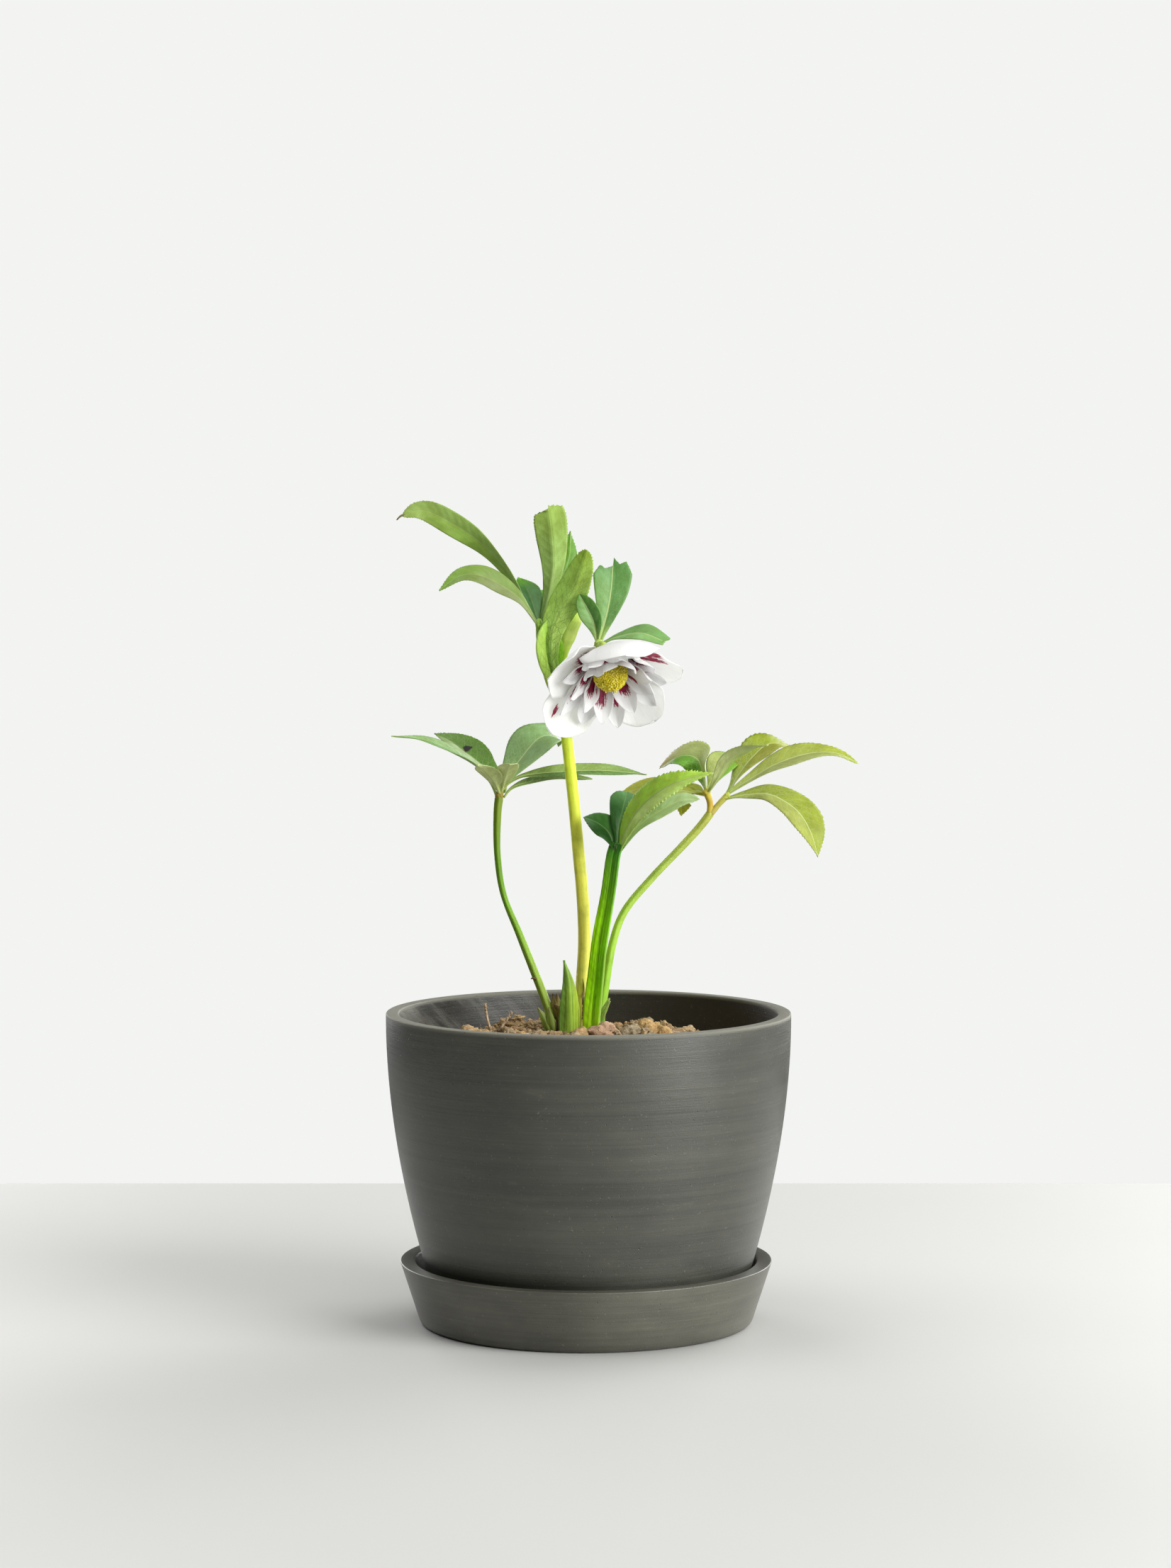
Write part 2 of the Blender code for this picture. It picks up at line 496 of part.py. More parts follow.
def make_soil(group, holes):
    """Soil filling the pot, its top raised by a formula, stones pressed in, stems' holes cut."""
    floor = SAUCER_FLOOR + 2 * GAP + POT_FLOOR
    outer = pot_radius(SOIL_EDGE_HEIGHT) - WALL - SOIL_SLACK
    cage = bmesh.new()
    rows = [soil_ring(cage, outer * (k / SOIL_RINGS) ** 0.85, soil_height)
            for k in range(1, SOIL_RINGS + 1)]
    for height in (115.0, 70.0, 35.0, floor + 6.0):
        radius = pot_radius(height) - WALL - SOIL_SLACK
        rows.append(soil_ring(cage, radius, lambda x, y: height))
    rows.append(soil_ring(cage, pot_radius(floor) - WALL - 7.0, lambda x, y: floor))
    centre = cage.verts.new(Vector((0, 0, soil_height(0, 0))) * MM)
    for k in range(SOIL_SPOKES):
        after = (k + 1) % SOIL_SPOKES
        cage.faces.new((centre, rows[0][k], rows[0][after]))
        for upper, lower in zip(rows, rows[1:]):
            cage.faces.new((upper[k], lower[k], lower[after], upper[after]))
    cage.faces.new(list(reversed(rows[-1])))
    bmesh.ops.recalc_face_normals(cage, faces=cage.faces)
    bmesh.ops.triangulate(cage, faces=cage.faces)
    mesh = bpy.data.meshes.new("soil bed")
    cage.to_mesh(mesh)
    cage.free()
    pieces = [add_mesh("soil bed", mesh, group)]
    draw = random.Random(11)
    for k, (x, y, z, radius) in enumerate(STONES):
        pieces.append(make_stone("stone %d" % k, (x, y, z), radius, draw, group))
    bed = fuse("soil", pieces, group, material("soil", (0.27, 0.19, 0.12), 0.95))
    cut = bed.modifiers.new("Stem holes", "BOOLEAN")
    cut.operation = "DIFFERENCE"
    cut.operand_type = "COLLECTION"
    cut.collection = holes
    cut.solver = "EXACT"
    return bed


def make_stone(name, centre, radius, draw, group):
    """A lumpy stone: an icosphere with its points moved in and out."""
    cage = bmesh.new()
    bmesh.ops.create_icosphere(cage, subdivisions=1, radius=radius)
    stretch = (draw.uniform(0.9, 1.25), draw.uniform(0.85, 1.15), draw.uniform(0.75, 0.95))
    for vert in cage.verts:
        swell = draw.uniform(0.88, 1.12)
        vert.co = Vector(c * s * swell for c, s in zip(vert.co, stretch))
        vert.co = (vert.co + Vector(centre)) * MM
    mesh = bpy.data.meshes.new(name)
    cage.to_mesh(mesh)
    cage.free()
    return add_mesh(name, mesh, group)


def make_leaf(name, stalks, blades, knots, group, skin):
    """A leaf: its stalk, the swelling at the fork and its leaflets in one body."""
    pieces = [tube("%s stalk %d" % (name, k), path, radii, group)
              for k, (path, radii) in enumerate(stalks)]
    pieces += [knot("%s knot" % name, centre, radius, group) for centre, radius in knots]
    pieces += [add_blade("%s blade %d" % (name, k), blade, group)
               for k, blade in enumerate(blades)]
    return fuse(name, pieces, group, skin)


def make_middle_leaf(group, skin):
    pieces = [add_blade("middle strap", MIDDLE_PETIOLE, group, 1.8)]
    pieces += [add_blade("middle blade %d" % k, blade, group)
               for k, blade in enumerate(MIDDLE_BLADES)]
    pieces.append(knot("middle knot", (14.0, -10.0, 236.0), 2.2, group))
    return fuse("leaf_middle", pieces, group, skin)


def make_flower_stem(group, skin):
    """The flowering stem: stem, bud, the leafy bract on the left and the bract at the bloom."""
    pieces = [tube("scape", SCAPE, SCAPE_RADII, group),
              tube("pedicel", PEDICEL, [2.4, 2.2, 1.9, 1.9, 2.0, 2.6], group),
              tube("bud", BUD_STALK, BUD_RADII, group, 13),
              tube("bract stalk", BRACT_STALK, [2.2, 1.9, 1.7, 1.6, 1.6], group)]
    pieces.append(add_blade("bract sheath", BRACT_SHEATH, group, 1.0))
    pieces += [add_blade("bract blade %d" % k, blade, group)
               for k, blade in enumerate(BRACT_BLADES)]
    pieces += [add_blade("collar blade %d" % k, blade, group)
               for k, blade in enumerate(COLLAR_BLADES)]
    pieces.append(knot("stem knot", (-14.0, 8.8, 313.0), 3.4, group))
    pieces.append(knot("collar knot", (5.0, -8.0, 335.5), 2.5, group))
    pieces.append(knot("bract knot", (-24.3, -0.3, 345.0), 2.0, group))
    # EXACT leaves this union open at the crossing bracts
    return fuse("flower_stem", pieces, group, skin, "MANIFOLD")


def flower_frame():
    """Axis of the bloom, and the two directions across it: up-and-near, and right."""
    axis = Vector(FLOWER_AXIS).normalized()
    near = Vector((0, 0, 1)) - axis.z * axis
    near.normalize()
    return axis, near, axis.cross(near)


def petal_surface(name, petal, rows, cells):
    """The open surface of one petal, rooted on the core and curving towards its tip.

    rows: places along it, 0 at the root and 1 at the tip. cells: quads across each half.
    """
    axis, near, across = flower_frame()
    turn = math.radians(petal.turn)
    outward = near * math.cos(turn) - across * math.sin(turn)
    sideways = axis.cross(outward)
    roll = math.radians(petal.roll)
    point = Vector(FLOWER_BASE) + outward * (CORE_RADIUS - 1.6) + axis * 0.4 * CORE_LENGTH
    steps = 50
    wanted = {round(steps * place) for place in rows}
    cage = bmesh.new()
    grid = []
    for k in range(steps + 1):
        t = k / steps
        lean = math.radians(petal.lean[0] + (petal.lean[1] - petal.lean[0]) * t)
        along = outward * math.sin(lean) + axis * math.cos(lean)
        inward = axis * math.sin(lean) - outward * math.cos(lean)
        spin = sideways * math.cos(roll) + inward * math.sin(roll)
        rise = inward * math.cos(roll) - sideways * math.sin(roll)
        if k in wanted:
            half = 0.5 * petal.width * petal_outline(t, petal.belly)
            row = []
            for cell in range(-cells, cells + 1):
                share = cell / cells
                bend = math.radians(petal.cup) * abs(share)
                out = share * half * math.cos(bend)
                lift = abs(share) * half * math.sin(bend)
                row.append(cage.verts.new((point + spin * out + rise * lift) * MM))
            grid.append(row)
        point = point + along * petal.length / steps
    for front, back in zip(grid, grid[1:]):
        for k in range(len(front) - 1):
            cage.faces.new((front[k], front[k + 1], back[k + 1], back[k]))
    bmesh.ops.triangulate(cage, faces=cage.faces)
    mesh = bpy.data.meshes.new(name)
    cage.to_mesh(mesh)
    cage.free()
    return mesh


def petal_outline(t, belly):
    """Half width of a petal at t, as a share of its greatest half width."""
    if t < belly:
        rise = t / belly
        return 0.12 + 0.88 * math.sin(rise * math.pi / 2) ** 1.1
    fall = (t - belly) / (1 - belly)
    return PETAL_TIP + (1 - PETAL_TIP) * (1 - fall ** 2.3) ** 0.62


def inner_petal(k):
    """Inner petals stand in two rows; near ones curl over the anthers, far ones are longer."""
    row = k % 2
    turn = 10 + 360 * k / INNER_PETALS
    nearness = math.cos(math.radians(turn))
    start, end = INNER_LEANS[row]
    return Petal(turn, INNER_LENGTHS[row] + FAR_REACH * max(-nearness, 0), INNER_WIDTH,
                 (start, end - NEAR_CURL * max(nearness, 0)), 24, 0, 0.6)


def make_flower_petals(group, skin):
    axis, _, _ = flower_frame()
    base = Vector(FLOWER_BASE)
    pieces = [tube("flower core", [base, base + axis * CORE_LENGTH],
                   [CORE_RADIUS - 1.2, CORE_RADIUS], group, 2, 3)]
    surfaces = [petal_surface("tepal %d" % k, petal, TEPAL_ROWS, 2)
                for k, petal in enumerate(TEPALS)]
    surfaces += [petal_surface("petal %d" % k, inner_petal(k), INNER_ROWS, 1)
                 for k in range(INNER_PETALS)]
    pieces += [thicken(add_mesh(surface.name, surface, group), PETAL_THICKNESS)
               for surface in surfaces]
    return fuse("flower_petals", pieces, group, skin)


def make_stamens(group, skin):
    """The mass of anthers: a dome on a short column, its knobs raised by a formula."""
    axis, near, across = flower_frame()
    spots = []
    for k in range(ANTHERS):
        height = 1 - 1.7 * (k + 0.5) / ANTHERS
        ring = math.sqrt(1 - height * height)
        angle = k * math.pi * (3 - math.sqrt(5))
        spots.append(Vector((ring * math.cos(angle), ring * math.sin(angle), height)))
    cage = bmesh.new()
    bmesh.ops.create_uvsphere(cage, u_segments=24, v_segments=14, radius=1.0)
    base = Vector(FLOWER_BASE)
    for vert in cage.verts:
        way = vert.co.normalized()
        bump = max(math.exp(-((way - spot).length / 0.16) ** 2) for spot in spots)
        waist = min(max((-way.z - 0.35) / 0.5, 0.0), 1.0)
        reach = ANTHER_RADIUS * (0.92 + 0.10 * bump) * (1 - 0.25 * waist)
        local = way * reach
        vert.co = (base + axis * (ANTHER_CENTRE + local.z) + near * local.x
                   + across * local.y) * MM
    mesh = bpy.data.meshes.new("anthers")
    bmesh.ops.recalc_face_normals(cage, faces=cage.faces)
    cage.to_mesh(mesh)
    cage.free()
    dome = add_mesh("anthers", mesh, group)
    column = tube("column", [base + axis * (CORE_LENGTH + GAP), base + axis * 8.0],
                  [3.0, 4.0], group, 2, 3)
    return fuse("flower_stamens", [dome, column], group, skin)


def make_crown(group, skin):
    """The woody crown with its dry bud scales."""
    cage = bmesh.new()
    bmesh.ops.create_icosphere(cage, subdivisions=2, radius=1.0)
    for vert in cage.verts:
        rough = 1 + 0.14 * noise.noise(vert.co * 2.3)
        vert.co = Vector((-13.0 + 3.6 * vert.co.x * rough, 0.4 + 4.6 * vert.co.y * rough,
                          143.0 + 10.0 * vert.co.z * rough)) * MM
    mesh = bpy.data.meshes.new("crown lump")
    cage.to_mesh(mesh)
    cage.free()
    pieces = [add_mesh("crown lump", mesh, group)]
    pieces += [tube("scale %d" % k, path, [1.6, 1.5, 0.35], group)
               for k, path in enumerate(CROWN_SCALES)]
    return fuse("crown", pieces, group, skin)


def make_holes(holes):
    """Cutters for the plain holes that the stems stand in."""
    deep = [("left", LEFT_PETIOLE, 2.3), ("right", RIGHT_PETIOLE, 2.2), ("scape", SCAPE, 3.5),
            ("bud", RIGHT_BUD, 2.0), ("stub", OLD_STUB, 1.3), ("root left", DRY_ROOT_LEFT, 0.8),
            ("root right", DRY_ROOT_RIGHT, 0.8)]
    for name, path, radius in deep:
        start, after = Vector(path[0]), Vector(path[1])
        way = (after - start).normalized()
        ends = [start - way * HOLE_SLACK, after + way * 8.0]
        cutter = tube("hole " + name, ends, [radius + HOLE_SLACK] * 2, holes, 2)
        hide(cutter)
    for name, centre, size in (("strap", (2, -11.6), (6.6, 4.6)), ("sheath", (-9.5, -10), (7.0, 4.6)),
                               ("crown", (-13, 0.4), (4.8, 5.8))):
        cage = bmesh.new()
        bmesh.ops.create_cone(cage, cap_ends=True, segments=12, radius1=1, radius2=1, depth=1)
        for vert in cage.verts:
            vert.co = Vector((centre[0] + vert.co.x * size[0], centre[1] + vert.co.y * size[1],
                              HOLE_FLOOR if vert.co.z < 0 else HOLE_TOP)) * MM
        mesh = bpy.data.meshes.new("hole " + name)
        cage.to_mesh(mesh)
        cage.free()
        hide(add_mesh("hole " + name, mesh, holes))


def hide(cutter):
    cutter.hide_render = True
    cutter.display_type = "WIRE"


def build():
    clear_scene()
    plant = new_collection("potted_christmas_rose")
    holes = new_collection("cutters")
    fresh = material("leaf green", (0.10, 0.22, 0.07), 0.5)
    lime = material("leaf lime", (0.30, 0.38, 0.07), 0.5)
    deep = material("leaf deep green", (0.05, 0.16, 0.06), 0.45)
    bract = material("stem and bract green", (0.22, 0.36, 0.09), 0.5)
    bark = material("crown brown", (0.16, 0.10, 0.06), 0.9)
    straw = material("dry straw", (0.42, 0.32, 0.20), 0.9)
    white = material("petal white", (0.86, 0.86, 0.82), 0.5)
    pollen = material("anther yellow", (0.55, 0.48, 0.06), 0.7)

    make_saucer(plant)
    make_pot(plant)
    make_holes(holes)
    make_soil(plant, holes)
    make_leaf("leaf_left", [(LEFT_PETIOLE, [2.2, 2.0, 1.8, 1.4, 1.5, 2.0])], LEFT_BLADES,
              [((-44, 5, 261), 2.1)], plant, fresh)
    make_leaf("leaf_right", [(RIGHT_PETIOLE, [2.0, 1.9, 1.7, 1.7, 1.9]),
                             (RIGHT_FORK_LEFT, [2.0, 2.2, 2.2]),
                             (RIGHT_FORK_RIGHT, [1.9, 1.8, 1.9])], RIGHT_BLADES,
              [((58.3, 5.4, 262), 2.3), ((68.5, 5, 261), 2.0)], plant, lime)
    make_middle_leaf(plant, deep)
    make_flower_stem(plant, bract)
    make_flower_petals(plant, white)
    make_stamens(plant, pollen)
    make_crown(plant, bark)
    sheath = add_blade("basal_sheath", SHEATH, plant, 2.2)
    sheath.data.materials.append(bract)
    for name, path, radii, skin in (("bud_right", RIGHT_BUD, [1.5, 1.9, 1.7, 0.4], fresh),
                                    ("old_stub", OLD_STUB, [1.1, 1.2, 0.7], straw),
                                    ("dry_root_left", DRY_ROOT_LEFT, [0.7, 0.6, 0.5], straw),
                                    ("dry_root_right", DRY_ROOT_RIGHT, [0.7, 0.6, 0.5], straw)):
        stick = tube(name, path, radii, plant)
        stick.data.materials.append(skin)


build()
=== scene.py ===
"""Looks of the potted christmas rose: fine leaves, petals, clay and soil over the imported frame.

Lengths in the tables are millimetres, as in the part's source, and MM turns them into metres.
Colours are what a screen shows, from 0 to 255, where three whole numbers give them.
"""
import math
import random
from collections import namedtuple

import bmesh
import bpy
import numpy as np
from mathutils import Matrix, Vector, noise


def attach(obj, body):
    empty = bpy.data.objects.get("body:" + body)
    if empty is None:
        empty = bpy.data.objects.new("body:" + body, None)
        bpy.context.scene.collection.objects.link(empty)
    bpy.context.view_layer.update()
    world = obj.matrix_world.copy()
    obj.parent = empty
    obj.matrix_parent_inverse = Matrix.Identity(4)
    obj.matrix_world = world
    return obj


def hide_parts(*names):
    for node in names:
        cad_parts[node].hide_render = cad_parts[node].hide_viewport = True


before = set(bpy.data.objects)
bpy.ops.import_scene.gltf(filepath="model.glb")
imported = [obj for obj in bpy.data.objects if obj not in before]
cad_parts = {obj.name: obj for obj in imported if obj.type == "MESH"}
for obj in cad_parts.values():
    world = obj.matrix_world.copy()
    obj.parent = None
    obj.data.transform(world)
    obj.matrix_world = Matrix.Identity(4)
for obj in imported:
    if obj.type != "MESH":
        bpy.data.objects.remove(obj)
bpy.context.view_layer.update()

MM = 0.001
GAP = 0.3

# Pot, saucer and soil, as in the part
RIM_HEIGHT = 153.9
RIM_RADIUS = 100.0
WALL = 6.3
SWELL_HEIGHT = 150.0
SWELL_DEPTH = 28.0
SWELL_POWER = 1.85
POT_FLOOR = 7.0
DRAIN_RADIUS = 8.0
FOOT_ROUND = 4.0
SAUCER_HEIGHT = 31.0
SAUCER_RIM_RADIUS = 92.1
SAUCER_BASE_RADIUS = 82.0
SAUCER_WALL = 7.5
SAUCER_FLOOR = 6.0
SAUCER_SHIFT_X = -1.2
SOIL_EDGE_HEIGHT = 134.0
MOUND_HEIGHT = 144.0
MOUND_INNER = 44.0
MOUND_OUTER = 74.0
HEAP_SPACING = 22.0
HEAP_HEIGHT = 5.0
HEAP_LAYER = 245.0
CLOD_SPACING = 8.5
CLOD_HEIGHT = 3.2
CLOD_LAYER = 45.0

# How finely things are drawn
ROUND_STEPS = 192          # points round the pot and the saucer
SOIL_SPOKES = 180
SOIL_RINGS = 72
CRUMBS = 2900
LARGE_CRUMBS = 420
ANTHERS = 640
CURVE_STEPS = 16           # points on a curve between two given ones
PATH_PINS = 121            # points on a blade's middle line
EDGE_STEP = 0.42           # length of a blade's edge between two rows of points
BLADE_HALF = 7             # points across each half of a blade
PETAL_HALF = 10
PETAL_ROWS = 44

LEAF_THICKNESS = 0.42
PETAL_THICKNESS = 0.45
VEIN_SPACING = 4.6
VEIN_LEAN = 1.15           # how far a side vein runs forward for each millimetre outward
QUILT = 0.16               # how far a leaf swells between its side veins
TOOTH_RISE = 0.78          # share of a tooth's length that rises
BLADE_SCALE = 0.01         # turns millimetres on a blade into its UV map's units

# The photograph's camera, in millimetres and in its own pixels
PHOTO_HEIGHT = 2213
FOCAL_PIXELS = 5453.9
SENSOR = 36.0
CAMERA_X = -1.5
CAMERA_DISTANCE = 1900.0
CAMERA_HEIGHT = 376.9
CAMERA_PITCH = 0.058
TABLE_EDGE_Y = 421.0       # where the table ends in front of the pale wall
TABLE_REACH = 1500.0


def srgb(screen):
    """A screen's colour as linear light."""
    shares = [value / 255 for value in screen]
    return tuple(s / 12.92 if s <= 0.04045 else ((s + 0.055) / 1.055) ** 2.4 for s in shares)


PALE_UNDER = (178, 190, 132)
PETAL_WHITE = (252, 252, 251)
PETAL_CREAM = (250, 250, 251)

# How a blade looks. base: colour at its stalk. left, right: colours of its halves: their own
# colour, and painted light and shade where a folded half faces towards or away from the light. tip:
# colour
# at its tip. pale: how much paler its lower side is. tooth, pitch: depth and spacing of its small
# teeth, which begin at the share start. lobes, crown: how many coarse lobes its tip has, and how
# deep. wave: how far its edge rises and falls. rib: how far the midrib stands out. slant: how
# much further its tip reaches on the right half than on the left. sides: which of its piece's
# materials lie above and below. thick: its thickness.
Look = namedtuple("Look", "base left right tip pale tooth pitch start lobes crown wave rib slant "
                  "sides thick",
                  defaults=(0.3, 0.45, 2.0, 0.4, 0, 0.0, 0.4, 0.9, 0.0, (0, 1), LEAF_THICKNESS))

BLUE_GREEN = Look((158, 186, 84), (124, 168, 96), (150, 184, 122), (150, 190, 118), 0.4, 0.3)
BLUE_BRIGHT = Look((140, 172, 96), (192, 212, 160), (98, 148, 18), (124, 166, 72), 0.5, 0.5, 1.7)
BLUE_BROAD = Look((150, 190, 70), (138, 178, 106), (146, 182, 118), (150, 184, 130), 0.3, 0.3)
PALE_FLAP = Look((196, 208, 116), (200, 214, 144), (210, 220, 156), (210, 220, 160), 0.1, 0.2)
NARROW_LIT = Look((166, 180, 60), (148, 176, 86), (104, 144, 66), (110, 148, 74), 0.2, 0.2)
NARROW = Look((150, 168, 60), (120, 154, 66), (130, 160, 80), (120, 154, 74), 0.2, 0.2)
LIME = Look((186, 198, 84), (154, 168, 40), (164, 172, 78), (150, 162, 6), 0.1, 0.6)
LIME_PALE = Look((190, 204, 100), (164, 176, 54), (168, 176, 96), (156, 168, 40), 0.1, 0.55, 2.6)
LIME_BROAD = Look((168, 186, 80), (146, 162, 12), (164, 168, 50), (152, 166, 22), 0.1, 0.9, 2.2)
GREY_UNDER = Look((184, 200, 100), (184, 202, 124), (194, 206, 138), (184, 202, 138), 0.1, 0.55)
GREY_STRIP = Look((166, 196, 116), (168, 196, 130), (184, 208, 146), (180, 204, 144),
                  0.1, 0.4, 1.8, 0.6, wave=0.3)
REDDISH = Look((176, 194, 92), (108, 172, 30), (186, 198, 116), (188, 166, 118), 0.1, 1.0, 1.6)
SPRING = Look((184, 196, 110), (180, 192, 108), (132, 190, 40), (126, 180, 44), 0.1, 0.4)
YELLOW = Look((190, 196, 60), (194, 198, 66), (186, 194, 40), (206, 204, 22), 0.2, 0.35)
DEEP = Look((48, 106, 24), (32, 86, 18), (62, 118, 42), (100, 150, 88), 0.3, 0.2, 2.4, 0.6,
            sides=(3, 4))
SERRATED = Look((160, 214, 56), (196, 238, 78), (224, 250, 140), (200, 238, 92),
                0.2, 1.1, 2.1, 0.2, sides=(5, 1))
STRAP = Look((218, 248, 56), (168, 234, 6), (136, 210, 20), (72, 150, 52), 0.0, 0.0,
             wave=0.25, rib=0.05, sides=(2, 2), thick=1.7)
BRACT = Look((164, 200, 78), (140, 174, 70), (152, 184, 88), (162, 186, 98),
             0.1, 0.4, 1.5, 0.8, wave=0.3, rib=0.2)
BRACT_LOW = Look((140, 160, 96), (126, 140, 80), (124, 152, 66), (118, 160, 50),
                 0.2, 0.4, 1.5, 0.7, rib=0.4)
BRACT_TALL = Look((66, 106, 12), (156, 188, 92), (130, 158, 78), (164, 192, 88),
                  0.0, 0.5, 1.3, 0.7, 7, 0.7, rib=0.5, slant=-1.2)
BRACT_BROAD = Look((150, 196, 80), (192, 226, 112), (190, 228, 112), (160, 192, 64),
                   0.0, 0.6, 1.4, 0.6, rib=0.6, sides=(2, 2))
BRACT_INNER = Look((84, 136, 32), (98, 150, 40), (112, 160, 50), (110, 162, 48), 0.0, 0.5, 1.5)
BRACT_FAR = Look((112, 160, 84), (92, 150, 80), (104, 160, 84), (130, 196, 40), 0.2, 0.4)
COLLAR = Look((210, 232, 140), (140, 184, 110), (90, 146, 64), (100, 158, 54),
              0.2, 0.2, 1.6, 0.7, wave=0.3)
COLLAR_TALL = Look((218, 240, 140), (134, 178, 106), (110, 160, 86), (94, 146, 72),
                   0.2, 0.3, 1.6, 0.8, 3, 3.0, rib=1.1, slant=2.0)
COLLAR_LOW = Look((158, 198, 112), (122, 174, 88), (148, 192, 116), (126, 176, 92),
                  0.2, 0.3, 1.8, 0.8, 2, 4.5, 0.3, 0.8)
SHEATHING = Look((180, 204, 50), (184, 218, 98), (142, 200, 34), (150, 196, 50), 0.0, 0.0,
                 wave=0.3, sides=(2, 2), thick=0.8)
BASAL = Look((206, 226, 64), (138, 186, 84), (176, 204, 60), (138, 182, 88), 0.0, 0.0,
             wave=0.2, rib=0.05, sides=(0, 0), thick=1.4)
SCALE = Look((140, 122, 64), (176, 164, 84), (204, 184, 132), (104, 72, 42),
             0.0, 0.25, 1.1, 0.5, rib=0.05, sides=(0, 0), thick=0.8)
GREEN_SCALE = Look((120, 134, 60), (124, 148, 62), (146, 166, 78), (150, 150, 92), 0.0, 0.0,
                   wave=0.3, rib=0.05, sides=(1, 1), thick=0.7)
BUD_SCALE = Look((136, 160, 62), (112, 156, 54), (146, 180, 78), (176, 188, 112), 0.0, 0.0,
                 wave=0.3, rib=0.05, sides=(1, 1), thick=0.7)

# A leaflet or lobe. path: points along its middle. width: its greatest width. up: where its upper
# side faces at its stalk and at its tip. fold: degrees that its left and right halves rise. belly:
# share of its length at which it is widest. tip: how it ends, as in TIPS. stalk: its width at its
# stalk, as a share of the greatest. spot: a dark wedge on it, as its place along and across,
# both as shares, its size, and its lean in degrees.
Blade = namedtuple("Blade", "path width up fold look belly tip stalk spot",
                   defaults=(0.6, "long", 0.12, None))

LEFT_PETIOLE = [(-20, -3, 132), (-19, -3, 151), (-21, -3, 159), (-26, -2, 172), (-34, 0, 192),
                (-42, 2, 212), (-45, 3, 232), (-45, 4, 251), (-44, 5, 261)]
LEFT_TINTS = [(176, 192, 96), (158, 190, 68), (116, 164, 20), (98, 146, 8), (122, 140, 36)]
LEFT_BLADES = [
    Blade([(-45, 5, 260), (-48, 2, 267), (-54, -3, 275), (-65, -9, 282), (-81, -14, 289),
          (-96, -18, 291)], 11, ((0.5, -0.2, 0.8), (0.2, -0.25, 0.95)), (16, 16), BLUE_GREEN, 0.55),
    Blade([(-44, 5, 261), (-46, 8, 269), (-54, 14, 275), (-60, 20, 279), (-68, 26, 285),
          (-77, 32, 290)], 23, ((0.3, -0.7, 0.6), (0.1, -0.8, 0.6)), (62, 4), BLUE_BRIGHT,
          spot=(0.63, 0.21, 4.3, 37)),
    Blade([(-42, 6, 262), (-41, 9, 268), (-33, 16, 279), (-26, 24, 287), (-20, 32, 289),
          (-15, 38, 286)], 24, ((-0.4, -0.8, 0.4), (-0.2, -0.8, 0.6)), (10, 16), BLUE_BROAD, 0.6,
          "round"),
    Blade([(-43, 5, 263), (-39, 8, 267), (-31, 13, 270), (-14, 19, 271.5), (7, 21, 272),
          (29, 22, 270)], 11, ((-0.2, -0.55, 0.8), (0.1, -0.5, 0.85)), (16, 16), NARROW_LIT),
    Blade([(-42, 5, 260), (-38, 9, 264), (-29, 18, 266.5), (-14, 29, 268), (2, 37, 267)], 10,
          ((-0.3, -0.4, 0.8), (0, -0.35, 0.9)), (14, 14), NARROW),
    Blade([(-44, 4, 262), (-46, -6, 268), (-50, -18, 274), (-54, -29, 277.5)], 12,
          ((0.1, 0.3, 0.9), (0, 0.3, 1)), (12, 12), PALE_FLAP),
    Blade([(-43, 4, 263), (-41, -8, 270), (-39, -20, 276), (-38, -32, 278)], 11,
          ((-0.1, 0.3, 0.9), (0, 0.3, 1)), (12, 12), PALE_FLAP),
]

RIGHT_PETIOLE = [(6, 8, 132), (6, 8, 149), (8, 9, 164), (12, 10, 187), (18, 10, 203),
                 (31, 9, 219), (46, 7, 235), (55, 6, 245), (61, 5, 253)]
RIGHT_TINTS = [(130, 176, 50), (156, 206, 64), (180, 220, 86), (192, 218, 100), (196, 200, 90)]
RIGHT_FORK_LEFT = [(60, 5, 251), (60, 5, 257), (58.5, 5, 262)]
RIGHT_FORK_RIGHT = [(60, 5, 251), (65, 5, 257), (69, 5, 261)]
RIGHT_BLADES = [
    Blade([(67, 5, 259), (77, 2, 261), (89, -3, 261.5), (101, -9, 255), (108, -14, 245),
          (112, -18, 232)], 20, ((-0.1, -0.6, 0.8), (0.6, -0.8, 0.25)), (10, 22), LIME, 0.68),
    Blade([(68, 5, 261), (79, 6, 268), (93, 8, 276), (109, 10, 281), (123, 12, 281),
          (133.6, 14, 276)], 16.5, ((-0.4, -0.5, 0.75), (0.1, -0.5, 0.8)), (14, 20), LIME_PALE,
          0.52),
    Blade([(69, 6, 262), (75, 14, 271), (82, 22, 279), (91, 30, 285), (104, 40, 281)], 20,
          ((-0.6, -0.6, 0.5), (0.2, -0.5, 0.8)), (10, 24), LIME_BROAD),
    Blade([(59, 5, 262), (63, -2, 269), (69, -10, 279), (78, -18, 285), (87, -26, 287)], 12,
          ((-0.5, 0.6, 0.6), (-0.3, 0.5, 0.8)), (12, 12), GREY_UNDER, 0.55),
    Blade([(58, 6, 262), (57, 12, 270), (54, 18, 278), (46, 26, 279), (36, 34, 273)], 20,
          ((-0.5, 0.4, 0.5), (-0.3, -0.5, 0.8)), (10, 22), REDDISH),
    Blade([(59, 7, 262), (64, 16, 271), (69, 27, 278), (74, 38, 279)], 17,
          ((-0.3, -0.6, 0.6), (0.1, -0.4, 0.9)), (10, 10), SPRING),
    Blade([(57, 6, 262), (53, 11, 262.5), (48, 14, 259), (46, 16, 250)], 13,
          ((0, -0.5, 0.8), (-0.5, -0.8, 0.2)), (14, 14), YELLOW, 0.55),
    Blade([(57, 6, 261), (47, 12, 262.5), (35, 18, 264), (23, 26, 262), (13, 33, 256)], 14,
          ((0, -0.5, 0.8), (-0.4, -0.5, 0.7)), (12, 12), YELLOW),
]

